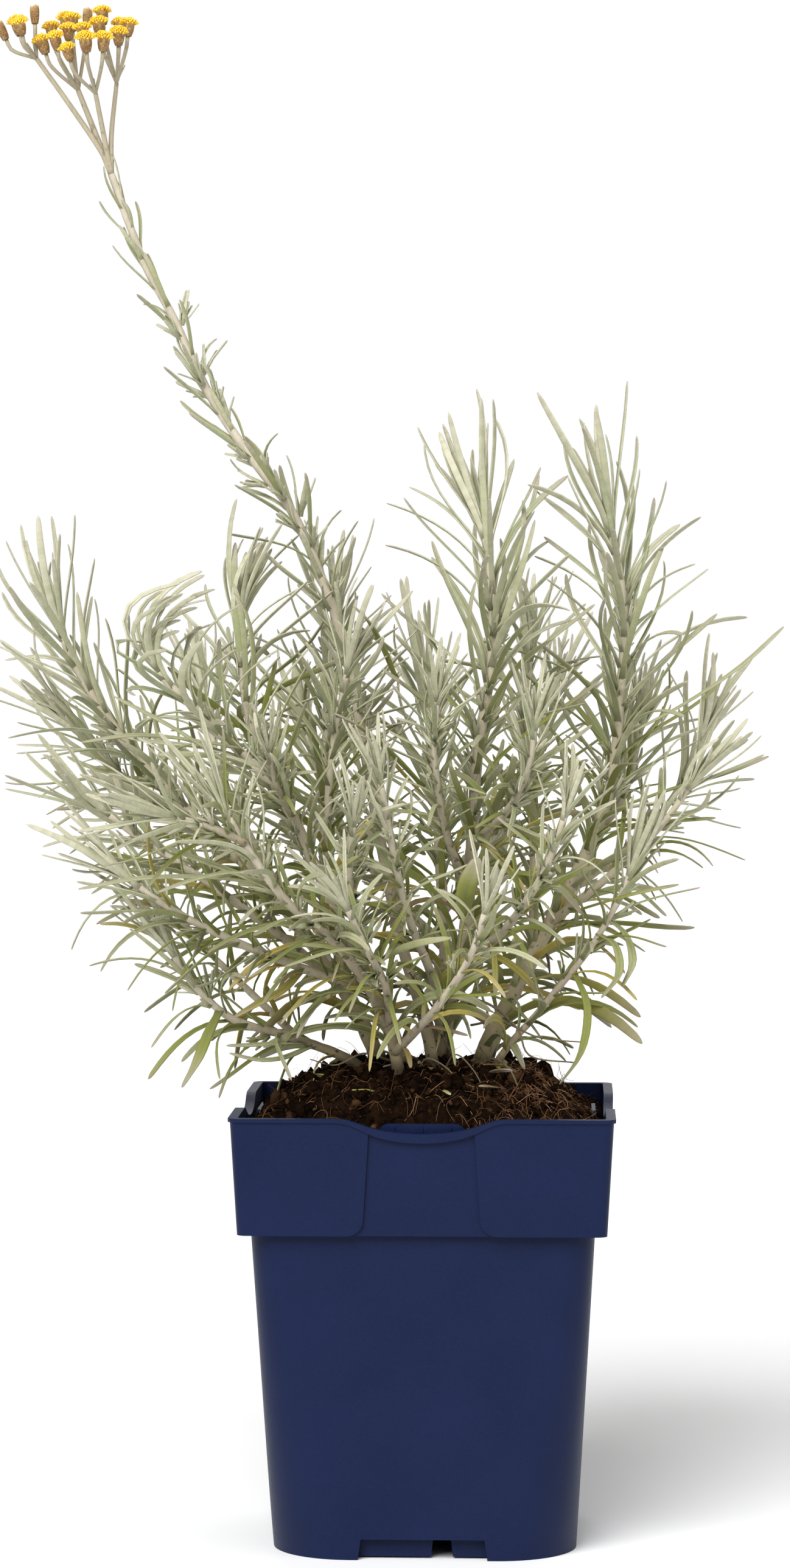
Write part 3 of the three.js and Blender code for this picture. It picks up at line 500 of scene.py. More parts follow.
# ---- stems ------------------------------------------------------------------------------------
# Each stem: its CAD node, the points that it passes through, its radius at both ends, the share of
# its length where its green leaves begin, its leaves' length and the distance that sets how many.
STEMS = {
    "stem_left_main": ([(-4, -8, 124), (-9, -11, 146), (-20, -17, 170), (-31, -24, 196),
                        (-41, -28, 217), (-60, -32, 238), (-76, -34, 254), (-81, -34, 270)],
                       2.4, 1.1, 0.4, 38, 2.1),
    "stem_centre_main": ([(0, 8, 124), (3, 6, 143), (10, 2, 168), (13, -2, 201), (15, -4, 231),
                          (19, -4, 258), (18, -2, 288), (12, 0, 312)], 2.7, 1.0, 0.42, 44, 1.9),
    "stem_right_main": ([(12, 3, 124), (17, 5, 142), (26, 8, 160), (35, 12, 177), (46, 14, 198),
                         (54, 14, 220), (57, 12, 249), (58, 10, 271), (54, 8, 296), (50, 6, 313)],
                        2.8, 1.0, 0.42, 45, 1.9),
    "stem_front_main": ([(-6, -17, 124), (-10, -20, 148), (-23, -38, 174), (-38, -54, 189),
                         (-47, -62, 202), (-53, -66, 212), (-60, -68, 224)], 2.0, 1.0, 0.35, 31, 2.6),
    "stem_back_main": ([(3, 20, 124), (5, 28, 152), (3, 44, 188), (0, 56, 225), (-4, 61, 262)],
                       2.6, 1.0, 0.4, 35, 2.1),
    "stem_back_left_main": ([(-9, 11, 124), (-24, 20, 156), (-50, 24, 190), (-83, 26, 222),
                             (-101, 24, 246), (-111, 24, 266), (-112, 24, 283)],
                            2.7, 1.0, 0.4, 42, 2.1),
    "stem_back_right_main": ([(12, 16, 124), (24, 31, 154), (42, 50, 184), (54, 62, 214),
                              (60, 69, 244)], 2.4, 1.0, 0.4, 35, 3.2),
    "stem_low_left": ([(-13, -3, 124), (-19, -5, 137), (-37, -10, 146), (-57, -16, 153),
                       (-69, -20, 165), (-77, -22, 179)], 1.7, 0.9, 0.3, 30, 2.9),
    "stem_low_right": ([(14, -7, 124), (21, -9, 140), (34, -12, 156), (48, -18, 174),
                        (56, -22, 188), (62, -24, 204)], 1.2, 0.8, 0.5, 30, 3.0),
    "shoot_front_left": ([(-49, -64, 206), (-59, -71, 211), (-69, -76, 214)],
                         1.3, 0.8, 0.1, 32, 2.0),
    "shoot_front_low": ([(-10, -20, 149), (-11, -36, 164), (-17, -50, 178), (-22, -58, 190)],
                        1.4, 0.9, 0.25, 24, 2.4),
    "shoot_front_right": ([(-9, -19, 143), (4, -36, 158), (14, -49, 174), (19, -57, 190)],
                          1.4, 0.9, 0.3, 23, 2.6),
    "shoot_front_centre": ([(4, 5, 146), (2, -13, 164), (-4, -30, 182), (-8, -40, 200),
                            (-13, -47, 229)], 1.6, 0.9, 0.35, 22, 2.3),
    "shoot_front_inner": ([(-15, -14, 159), (-20, -28, 180), (-21, -39, 198), (-19, -47, 214)],
                          1.5, 0.9, 0.35, 22, 2.4),
    "shoot_left_star": ([(-38, -27, 212), (-42, -39, 222), (-44, -48, 233)],
                        1.2, 0.8, 0.2, 18, 1.7),
    "shoot_left_upright": ([(-43, -29, 220), (-51, -13, 237), (-55, 0, 255), (-56, 6, 273)],
                           1.5, 0.9, 0.25, 36, 1.9),
    "shoot_left_middle": ([(-16, -14, 161), (-34, -18, 167), (-53, -25, 175), (-72, -31, 185),
                           (-89, -34, 197)], 1.5, 0.9, 0.35, 32, 2.5),
    "shoot_left_back": ([(-25, 20, 158), (-42, 6, 174), (-66, -5, 193), (-84, -10, 205),
                         (-98, -14, 216)], 1.6, 0.9, 0.35, 34, 2.5),
    "shoot_left_far": ([(-57, 24, 197), (-80, 38, 210), (-98, 43, 225), (-111, 44, 238)],
                       1.6, 0.9, 0.25, 35, 2.4),
    "shoot_left_low_back": ([(-37, -10, 146), (-52, 6, 158), (-66, 17, 170), (-81, 23, 186)],
                            1.3, 0.8, 0.35, 29, 2.7),
    "shoot_middle_left": ([(-27, -21, 186), (-29, -10, 208), (-27, -9, 234), (-22, -14, 258)],
                          1.5, 0.9, 0.3, 29, 1.9),
    "shoot_middle_back": ([(-25, 20, 157), (-32, 34, 192), (-32, 38, 232), (-29, 38, 278)],
                          1.6, 0.9, 0.35, 34, 2.0),
    "shoot_centre_star": ([(12, -1, 188), (5, -17, 211), (3, -26, 232), (4, -30, 250)],
                          1.4, 0.8, 0.3, 20, 1.8),
    "shoot_right_front": ([(10, 2, 168), (22, -18, 178), (30, -33, 189), (36, -42, 200),
                           (42, -48, 218)], 1.6, 0.9, 0.35, 23, 2.3),
    "shoot_right_star": ([(13, -2, 203), (24, -21, 214), (30, -32, 226), (32, -37, 241)],
                         1.4, 0.8, 0.3, 23, 2.1),
    "shoot_right_inner": ([(49, 14, 205), (57, 26, 214), (61, 31, 226), (64, 31, 239)],
                          1.3, 0.8, 0.25, 23, 2.3),
    "shoot_right_side": ([(36, 12, 179), (54, 2, 194), (68, -4, 208), (79, -8, 223)],
                         1.5, 0.8, 0.35, 29, 3.2),
    "shoot_right_back": ([(44, 52, 188), (62, 49, 202), (75, 46, 218), (83, 44, 237)],
                         1.4, 0.8, 0.25, 31, 3.3),
    "shoot_back_tall": ([(31, 39, 166), (31, 46, 198), (29, 51, 232), (30, 55, 266)],
                        1.6, 0.9, 0.35, 31, 2.0),
    "shoot_back_right": ([(3, 40, 180), (17, 60, 198), (31, 76, 222), (38, 84, 249)],
                         1.6, 0.8, 0.3, 32, 2.8),
    "shoot_back_left": ([(4, 36, 170), (-15, 56, 188), (-32, 71, 212), (-42, 79, 240)],
                        1.6, 0.8, 0.3, 32, 2.1),
    "shoot_back_outer": ([(-40, 23, 180), (-54, 46, 200), (-66, 60, 224), (-72, 67, 250)],
                         1.6, 0.8, 0.3, 32, 2.7),
    "shoot_back_low": ([(5, 28, 152), (12, 50, 162), (17, 72, 175), (19, 86, 194)],
                       1.5, 0.8, 0.35, 30, 2.8),
}
# The share of a route where its wood ends in a rosette, and the leaves that sweep to one side.
TOP_SHARE = {"stem": 0.9, "shoot": 0.93}
SWEEPS = {"stem_left_main": (2.1, -0.15, -0.55), "shoot_left_upright": (0.5, 0, 0),
          "stem_back_left_main": (0.12, 0, 0.3), "shoot_left_middle": (-0.3, 0, -0.1),
          "shoot_middle_left": (0.3, 0, 0)}
STALK = ([(4, -9, 124), (0, -4, 148), (-8, 7, 174), (-15, 15, 206), (-20, 16, 235),
          (-24, 14, 258), (-32, 12, 282), (-41, 10, 302), (-51, 10, 315), (-64, 12, 334),
          (-76, 12, 359), (-84, 11, 374), (-89, 10, 387), (-94, 10, 401)], 1.9, 1.1)
GOLDEN_TURN = math.radians(137.5)
SOIL_TOP = 137  # the height where most stems leave the soil
BARE_FOOT = 18  # the length at the foot of a stem that has no leaves
OLD_LEAF_GAP = 3.4
LEAF_CROWDING = 1.2  # how much closer the leaves stand than the table's distance
ROSETTE_LEAVES = 13
TUFT_CHANCE = 0.4
LOW_LEAVES_BELOW = 215  # leaves sag more, darken more (partly age, partly painted shade) and yellow more often, the further below this height they are
LOW_LEAVES_SPAN = 60
STALK_LEAVES = 64


def add_stem(builder, route, base, tip, foot_age, top_age, tint, sides=12, scars=0.06, top=1.0):
    """A stem with uneven bark and a wider foot, up to the share of its route given by top."""
    rows = max(8, int(route.length / 2.2))
    share = np.linspace(0, top, rows)
    centre = route.at(share)
    side, up = steady_frames(route.heading(share))
    angle = np.linspace(0, 2 * np.pi, sides, endpoint=False)
    radius = base + (tip - base) * share**0.8
    wave = np.array([math.sin(r * 1.9 + angle_step * 2) + 0.6 * math.sin(r * 0.7 - angle_step * 3)
                     for r in range(rows) for angle_step in angle]).reshape(rows, sides)
    rough = random.normal(0, 0.4, (rows, sides))
    flare = 1 + 0.22 * np.clip((SOIL_TOP + 4 - centre[:, 2]) / 10, 0, 1)
    reach = radius[:, None] * flare[:, None] * (1 + scars * 0.6 * (wave + rough))
    rings = (centre[:, None, :] + side[:, None, :] * (reach * np.cos(angle))[..., None]
             + up[:, None, :] * (reach * np.sin(angle))[..., None])
    age_and_shade = foot_age + (top_age - foot_age) * share**0.6
    age_and_shade = np.maximum(age_and_shade, np.clip((SOIL_TOP + 12 - centre[:, 2]) / 10, 0, 1))
    builder.rings(rings, age_and_shade=np.repeat(age_and_shade, sides), tint=tint)


def axil_tuft(builder, root, along, out, reach, age_and_shade, tint):
    """A tuft of small young leaves in a leaf's axil."""
    axis = unit(along + out * random.uniform(0.5, 1.0))
    foot = root + out * 0.6
    count = random.integers(4, 7)
    for i in range(count):
        spread = outward(axis, i * 2 * math.pi / count + random.uniform(-0.4, 0.4))
        length = reach * random.uniform(0.6, 1.1)
        grow_leaf(builder, foot, axis, spread, length, 0.7 + 0.055 * length,
                  random.uniform(0.25, 0.75), random.uniform(-0.2, 0.6), age_and_shade=age_and_shade,
                  tint=tint + random.uniform(-0.2, 0.2), small=True)


def leaf_habit(height, low, sweep):
    """How a leaf at that height of its shoot grows. Low is 1 on the lowest shoots."""
    lean = 1.25 - 0.65 * height**1.2 + random.normal(0, 0.18)
    curl = 0.35 + random.normal(0, 0.5) - 0.5 * low * random.random()
    droop = max(0.0, random.normal(0.12, 0.25)) * (1.15 - height) + 0.95 * low * random.random()
    return {"lean": lean, "curl": curl, "droop": droop, "sway": random.normal(0, 0.42),
            "twist": random.normal(0, 0.5), "broad": 0.05 + 0.1 * random.random(),
            "sweep": np.array(sweep) * height**2}


def leaf_width(length):
    return (0.8 + 0.0245 * length) * random.uniform(0.85, 1.15)


def dress_stem(builder, name, route, radius, leafy, reach, spacing):
    """All the leaves of a stem: old ones below, green ones with tufts above, a rosette at the tip."""
    base, tip = radius
    top = TOP_SHARE[name.split("_")[0]]
    sweep = SWEEPS.get(name, (0, 0, 0))
    turn = random.uniform(0, 2 * math.pi)
    start = 0.0 if name.startswith("shoot") else BARE_FOOT / route.length
    old = int(max(0.0, leafy - start) * route.length / OLD_LEAF_GAP)
    for i in range(old):
        share = start + (leafy - start) * (i + random.random()) / old
        add_old_leaf(builder, route, share, base, reach, turn + i * GOLDEN_TURN)
    count = int(LEAF_CROWDING * (top - leafy) * route.length / spacing)
    for i in range(count):
        height = (i + 0.5) / count
        share = leafy + (top - leafy) * height**0.95
        root, along = route.at(share), route.heading(share)
        out = outward(along, turn + i * GOLDEN_TURN + random.normal(0, 0.2))
        root = root + out * (base + (tip - base) * share**0.8) * 0.7
        low = float(np.clip((LOW_LEAVES_BELOW - root[2]) / LOW_LEAVES_SPAN, 0, 1))
        length = reach * (0.72 + 0.32 * math.sin(math.pi * min(1, 0.2 + 0.72 * height)))
        length *= random.uniform(0.75, 1.12)
        # Leaves low on their shoot and low in the plant come out older and so darker olive: partly
        # age, partly painted shade.
        age_and_shade = 0.66 * (1 - height) * random.random() ** 0.6 + 0.34 * low * random.random() ** 0.6
        age_and_shade = 0.76 if random.random() < 0.05 * low else min(age_and_shade, 0.62)
        grow_leaf(builder, root, along, out, length, leaf_width(length), age_and_shade=age_and_shade,
                  tint=random.random(), **leaf_habit(height, low, sweep))
        if height < 0.85 and random.random() < TUFT_CHANCE:
            axil_tuft(builder, root, along, out, random.uniform(5, 10), age_and_shade * 0.6, random.random())
    add_rosette(builder, route, top, reach, turn, sweep)


def add_old_leaf(builder, route, share, base, reach, turn):
    """A long sagging leaf on the bare part of a stem. Most are dark olive, partly with age and partly
    as painted shade; some are yellow or dry.
    """
    root, along = route.at(share), route.heading(share)
    out = outward(along, turn)
    kind = random.random()
    age_and_shade = 0.3 + 0.32 * random.random() if kind < 0.72 else random.uniform(0.68, 0.8)
    if kind > 0.9:
        age_and_shade = random.uniform(0.95, 1.2)
    length = reach * random.uniform(0.6, 1.15) * (0.6 if age_and_shade > 0.9 else 1)
    grow_leaf(builder, root + out * base * 0.6, along, out, length,
              leaf_width(length) * random.uniform(0.95, 1.35), random.uniform(0.75, 1.4),
              random.normal(-0.1, 0.5), droop=random.uniform(0.2, 1.3),
              sway=random.normal(0, 0.45), twist=random.normal(0, 0.9), age_and_shade=age_and_shade,
              tint=random.random(), broad=0.25)


def add_rosette(builder, route, top, reach, turn, sweep):
    """The young leaves round a shoot's tip."""
    root, along = route.at(top), route.heading(top)
    for i in range(ROSETTE_LEAVES):
        inner = i / (ROSETTE_LEAVES - 1)
        out = outward(along, turn + i * GOLDEN_TURN)
        length = reach * (1.02 - 0.55 * inner**1.4) * random.uniform(0.85, 1.1)
        grow_leaf(builder, root + out * 0.3, along, out, length, leaf_width(length),
                  0.58 - 0.5 * inner + random.normal(0, 0.07), random.uniform(-0.1, 0.6),
                  sway=random.normal(0, 0.2), age_and_shade=0.0, tint=0.6 * random.random(),
                  sweep=np.array(sweep) * random.uniform(0.7, 1.2))


def build_stems(bark, leaf):
    for name, (points, base, tip, leafy, reach, spacing) in STEMS.items():
        route = Route(points)
        wood = Builder("age_and_shade", "tint")
        main = name.startswith("stem")
        add_stem(wood, route, base, tip, 0.75 if main else 0.5, 0.05, random.random(),
                 top=TOP_SHARE["stem" if main else "shoot"])
        wood.piece(name + "_wood", bark, "stem", name)
        leaves = Builder("age_and_shade", "tint", "along", "groove")
        dress_stem(leaves, name, route, (base, tip), leafy, reach, spacing)
        leaves.piece(name + "_leaves", leaf, "shoot")


# Single leaves that stand out: the points along each one, its width, its age (whose darker olive is
# partly painted shade) and its tint.
SINGLE_LEAVES = {
    "leaf_long_right": ([(57, 14, 234), (77, 10, 245), (93, 8, 256), (105, 10, 267)], 2.2, 0.25, 0.4),
    "leaf_broad_right": ([(55, 10, 213), (71, 2, 219), (87, -4, 224), (100, -4, 229)], 3.0, 0.4, 0.9),
    "leaf_centre_lime": ([(-9, -8, 252), (-13, -14, 262), (-17, -18, 269), (-21, -20, 273)],
                         2.6, 0.6, 0.8),
    "leaf_centre_olive": ([(-1, -20, 221), (-10, -30, 231), (-18, -38, 238), (-25, -44, 242)],
                          3.4, 0.5, 0.9),
    "leaf_left_pale": ([(-40, -40, 216), (-56, -54, 229), (-71, -60, 239), (-86, -62, 247)],
                       2.8, 0.3, 0.3),
    "leaf_left_level": ([(-53, -35, 232), (-69, -46, 235), (-82, -52, 236), (-96, -54, 234)],
                        2.6, 0.3, 0.5),
    "leaf_left_low": ([(-44, -25, 192), (-62, -36, 195), (-81, -44, 195), (-98, -46, 192)],
                      2.6, 0.25, 0.5),
    "leaf_left_yellow": ([(-36, -12, 167), (-42, -20, 161), (-48, -24, 158), (-55, -26, 154)],
                         3.0, 0.74, 0.5),
    "leaf_left_hanging": ([(-60, -19, 155), (-62, -32, 150), (-65, -40, 142), (-69, -41, 135)],
                          2.6, 0.5, 0.9),
    "leaf_low_level": ([(-36, -11, 145), (-43, -22, 146), (-50, -27, 146), (-57, -30, 146)],
                       2.4, 0.3, 0.6),
    "leaf_low_level_below": ([(-34, -10, 144), (-42, -26, 142), (-48, -30, 142), (-56, -32, 144)],
                             2.4, 0.35, 0.7),
    "leaf_right_hanging": ([(43, -15, 167), (47, -24, 157), (45, -29, 144), (39, -28, 135)],
                           1.9, 0.5, 0.5),
    "leaf_right_arc_a": ([(50, -19, 178), (55, -24, 175), (56, -27, 167), (51, -28, 160)],
                         1.9, 0.4, 0.5),
    "leaf_right_arc_b": ([(52, -20, 183), (58, -22, 178), (60, -24, 170), (57, -25, 163)],
                         1.9, 0.35, 0.5),
    "leaf_front_upright": ([(12, -33, 184), (12, -40, 189), (13, -43, 194), (16, -44, 201)],
                           4.4, 0.55, 0.9),
    "leaf_right_yellow": ([(43, -14, 184), (53, -28, 188), (63, -33, 191), (73, -34, 193)],
                          2.4, 0.68, 0.5),
}


def build_single_leaves(leaf):
    for name, (points, width, age_and_shade, tint) in SINGLE_LEAVES.items():
        builder = Builder("age_and_shade", "tint", "along", "groove")
        shares = leaf_shares(14)
        spine = Route(points).at(shares)
        up = np.tile(UP + np.array((0, -0.25, 0)), (len(shares), 1))
        if name.endswith("upright"):
            up = np.tile(np.array((0.2, -1.0, 0.2)), (len(shares), 1))
        add_leaf(builder, spine, up, width, age_and_shade, tint, shares, 0.3)
        builder.piece(name, leaf, "shoot")


# Thin dry twigs at the foot of the plant, and their radius.
DRY_TWIGS = [
    ([(13, -4, 150), (22, -15, 152), (33, -22, 148), (47, -27, 147)], 0.4),
    ([(13, -3, 158), (20, -14, 156), (27, -20, 150), (30, -22, 143), (44, -26, 141)], 0.45),
    ([(4, -12, 134), (9, -22, 143), (14, -26, 139), (17, -28, 134)], 0.35),
    ([(15, 0, 136), (20, -14, 141), (25, -22, 138), (28, -27, 131)], 0.5),
    ([(-3, -16, 136), (1, -24, 142), (8, -27, 138), (10, -30, 133)], 0.35),
    ([(-10, -12, 140), (-18, -20, 143), (-26, -25, 140), (-33, -28, 142)], 0.4),
    ([(5, 10, 135), (6, 2, 147), (0, -6, 158), (-5, -10, 166)], 0.5),
    ([(8, -6, 140), (3, -16, 150), (-4, -22, 154), (-12, -27, 151)], 0.35),
]


def build_twigs(bark):
    twigs = Builder("age_and_shade", "tint")
    for points, radius in DRY_TWIGS:
        add_cord(twigs, points, radius, radius * 0.45, sides=6, age_and_shade=0.9, tint=0.0)
    twigs.piece("dry_twigs", bark, "stem")


# ---- the flower stalk -------------------------------------------------------------------------
CORYMB_FOOT = (-94, 10, 401)
CORYMB = [
    ([(-96, 10, 406), (-106, 10, 421), (-116, 9, 435)], 0.85,
     [(-124.5, 6, 440), (-121, 11.5, 442), (-119.5, 3.5, 441), (-116.5, 9, 445)]),
    ([(-98, 11, 411), (-104, 12, 426)], 1.0,
     [(-111.5, 14, 441), (-113, 8, 436), (-108, 19, 444), (-109, 2.5, 436.5), (-105.5, 11, 443),
      (-102, 17, 445), (-106, 5.5, 439.5)]),
    ([(-96, 8, 412), (-98, 4, 424)], 0.85,
     [(-104.5, -3, 432.5), (-99.5, -6, 434.5), (-101, 0.5, 438.5), (-95, -4, 435)]),
    ([(-94, 10, 412), (-92.5, 11, 428)], 0.8,
     [(-96.5, 12, 445), (-96.5, 5, 440.5), (-92, 14.5, 442), (-89, 8.5, 441), (-91, 2, 437.5)]),
]
CLOSED_HEADS = {0, 3, 9}  # counted from 0 in the order above
HEAD_RADIUS = 1.65


def head_aim(fork, seat):
    """The way a flower head faces: along its pedicel, turned upwards."""
    aim = unit(np.array(seat, float) - np.array(fork, float)) + 1.2 * UP
    return unit(aim)


def add_cord(builder, points, base, tip, sides=8, age_and_shade=0.3, tint=0.8):
    """A thin smooth branch."""
    route = Route(points)
    rows = max(6, int(route.length / 1.4))
    share = np.linspace(0, 1, rows)
    side, up = steady_frames(route.heading(share))
    angle = np.linspace(0, 2 * np.pi, sides, endpoint=False)
    radius = (base + (tip - base) * share)[:, None]
    rings = (route.at(share)[:, None, :] + side[:, None, :] * (radius * np.cos(angle))[..., None]
             + up[:, None, :] * (radius * np.sin(angle))[..., None])
    builder.rings(rings, age_and_shade=age_and_shade, tint=tint)


def build_stalk(bark, leaf):
    points, base, tip = STALK
    route = Route(points)
    wood = Builder("age_and_shade", "tint")
    add_stem(wood, route, base, tip, 0.6, 0.0, 0.3, scars=0.04)
    leaves = Builder("age_and_shade", "tint", "along", "groove")
    turn = 1.1
    for i in range(STALK_LEAVES):
        height = (i + 0.5) / STALK_LEAVES
        share = 0.3 + 0.68 * height
        root, along = route.at(share), route.heading(share)
        out = outward(along, turn + i * GOLDEN_TURN)
        root = root + out * (base + (tip - base) * share**0.8) * 0.7
        length = (29 - 15 * height) * random.uniform(0.6, 1.15)
        grow_leaf(leaves, root, along, out, length, 0.85 + 0.03 * length,
                  0.72 - 0.2 * height + random.normal(0, 0.14), 0.4 + random.normal(0, 0.6),
                  sway=random.normal(0, 0.2), twist=random.normal(0, 0.4),
                  age_and_shade=0.3 * random.random(), tint=0.4 + 0.6 * random.random())
        if height < 0.85 and random.random() < 0.42:
            axil_tuft(leaves, root, along, out, random.uniform(6, 13), 0.05, 0.4)
    for branch, radius, heads in CORYMB:
        add_cord(wood, [CORYMB_FOOT, *branch], radius, radius * 0.8)
        fork = np.array(branch[-1], float)
        for head in heads:
            aim = head_aim(fork, head)
            seat = np.array(head, float) + aim * 0.35
            add_cord(wood, [fork, seat - aim * 3.2, seat], 0.5, 0.62)
        for i in range(3):
            out = outward(unit(fork - np.array(CORYMB_FOOT)), i * 2.1)
            grow_leaf(leaves, fork, unit(fork - np.array(CORYMB_FOOT)), out, random.uniform(3, 6),
                      0.7, 0.6, 0.3, tint=0.4, small=True)
    wood.piece("flower_stalk_wood", bark, "stalk", "flower_stalk")
    leaves.piece("flower_stalk_leaves", leaf, "stalk")


def add_bract(builder, foot, axis, out, length, width, hug, tint):
    """A papery scale that clasps the head: a thin curved plate with a round tip."""
    shares = np.linspace(0, 1, 7)
    reach = hug(shares * length)
    spine = foot + axis * (shares * length)[:, None] + out * reach[:, None]
    half = (width / 2) * np.sqrt(np.clip(1 - (shares / 1.02) ** 3.5, 0.02, 1))
    side = np.cross(axis, out)
    section = np.array([(-1, -0.34), (-0.5, -0.08), (0, 0.0), (0.5, -0.08), (1, -0.34)])
    front = section + (0, 0.07)
    back = section[::-1]
    loop = np.concatenate([front, back])
    rings = (spine[:, None, :] - side * (half[:, None] * loop[:, 0])[..., None]
             + out * (half[:, None] * loop[:, 1])[..., None])
    builder.rings(rings, along=np.repeat(shares, len(loop)), tint=tint)


def add_floret(builder, foot, axis, length, radius, tint):
    """A tubular floret that flares at its mouth."""
    shares = np.array([0, 0.55, 0.85, 1.0, 1.0])
    widths = np.array([0.6, 0.7, 1.15, 1.3, 0.5]) * radius
    side, up = steady_frames(axis[None])
    angle = np.linspace(0, 2 * np.pi, 6, endpoint=False)
    ring = side[0] * np.cos(angle)[:, None] + up[0] * np.sin(angle)[:, None]
    rings = (foot + axis * (shares * length)[:, None])[:, None, :] + ring * widths[:, None, None]
    builder.rings(rings, along=np.repeat(shares, 6), tint=tint)


def build_heads(bract, floret):
    number = 0
    for branch, _, heads in CORYMB:
        for head in heads:
            aim = head_aim(branch[-1], head)
            foot = np.array(head, float) + aim * 0.35
            build_head(number, foot, aim, bract, floret)
            number += 1


def build_head(number, foot, aim, bract, floret):
    """One head: overlapping rows of bracts round a dome of florets."""
    name = f"flower_head_{number + 1:02d}"
    closed = number in CLOSED_HEADS
    size = random.uniform(0.92, 1.08)
    cup = 4.1 * size if not closed else 5.0 * size
    widest = HEAD_RADIUS * size * (0.8 if closed else 1.0)

    def hug(height):
        share = np.clip(height / cup, 0, 1.2)
        return widest * np.clip(np.sin(np.pi * (0.12 + 0.52 * share)) ** 0.6, 0.2, 1.0)

    scales = Builder("along", "tint")
    rows = 6
    for row in range(rows):
        start = cup * 0.13 * row
        for i in range(7):
            out = outward(aim, (i + 0.5 * (row % 2)) * 2 * math.pi / 7 + random.normal(0, 0.06))
            length = cup * (0.34 + 0.025 * row) * random.uniform(0.9, 1.08)
            add_bract(scales, foot + aim * start, aim, out, length, 1.75 * size,
                      lambda height, start=start: hug(height + start) + 0.05, random.random())
    scales.piece(name + "_bracts", bract, "flower", name)
    dome = Builder("along", "tint")
    count = 12 if closed else 70
    spread = widest * (0.45 if closed else 0.98)
    for i in range(count):
        share = math.sqrt((i + 0.5) / count)
        rise = math.sqrt(1 - 0.85 * share**2)
        out = outward(aim, i * GOLDEN_TURN)
        axis = unit(aim * rise + out * share * (0.2 if closed else 0.85))
        base = foot + aim * (cup * 0.72 + 0.85 * spread * rise) + out * spread * share
        length = (0.9 if closed else 1.55) * size * random.uniform(0.85, 1.15)
        add_floret(dome, base, axis, length, 0.22, random.random())
    dome.piece(name + "_florets", floret, "flower")


# ---- the pot ----------------------------------------------------------------------------------
POT_HEIGHT = 127.5
RIM_HALF = 54.5
COLLAR_FOOT_HALF = 52.6
COLLAR_FOOT_Z = 94
BODY_TOP_HALF = 49.2
BODY_FOOT_HALF = 44.0
CORNER_TOP = 3
CORNER_BODY = 8
CORNER_FOOT = 23
WALL = 1.3
COLLAR_WALL = 2.3
LIP = 0.5
LIP_HEIGHT = 1.1
DIP_HALF = 24.5
DIP_DEPTH = 4.2
DIP_LIP_HEIGHT = 2.6
PANEL_DEPTH = 1
PANEL_TOP_HALF = 14.7
PANEL_FOOT_HALF = 16.6
PANEL_CORNER = 4.5
POCKET_HALF = 12.2
POCKET_GAP = 2.6
POCKET_WALL = 1.1
POCKET_FOOT_Z = 110
POCKET_TOP_Z = 125.7
POCKET_CORNER = 2.5
RIB_COUNT = 3
RIB_SPACING = 8
FLOOR_Z = 6
RING_HALF = 40.7
RING_FOOT_Z = 0.5
SLOT_HALF = 2.5
SLOT_OFFSET = 5.5
NOTCH_TOP_HALF = 17.7
NOTCH_FOOT_HALF = 18.7
BOSS_RADIUS = 7
DRAIN_RADIUS = 4.2
DRAIN_OUT = 32
CORNER_STEPS = 14


def body_half(z):
    return BODY_FOOT_HALF + (BODY_TOP_HALF - BODY_FOOT_HALF) * z / COLLAR_FOOT_Z


def body_corner(z):
    share = max(0.0, z / COLLAR_FOOT_Z) ** 0.7
    return CORNER_FOOT + (CORNER_BODY - CORNER_FOOT) * share


def collar_half(z):
    share = (z - COLLAR_FOOT_Z) / (POT_HEIGHT - COLLAR_FOOT_Z)
    return COLLAR_FOOT_HALF + (RIM_HALF - COLLAR_FOOT_HALF) * share


def rounded_square(half, radius, z):
    """A rounded square at a height, counter-clockwise from above."""
    angle = np.linspace(0, math.pi / 2, CORNER_STEPS + 1)
    corner = half - radius
    arc = np.stack([corner + radius * np.cos(angle), corner + radius * np.sin(angle)], -1)
    points = []
    for quarter in range(4):
        c, s = round(math.cos(quarter * math.pi / 2)), round(math.sin(quarter * math.pi / 2))
        points.append(arc @ np.array([[c, s], [-s, c]]))
    flat = np.concatenate(points)
    return np.column_stack([flat, np.full(len(flat), z)])


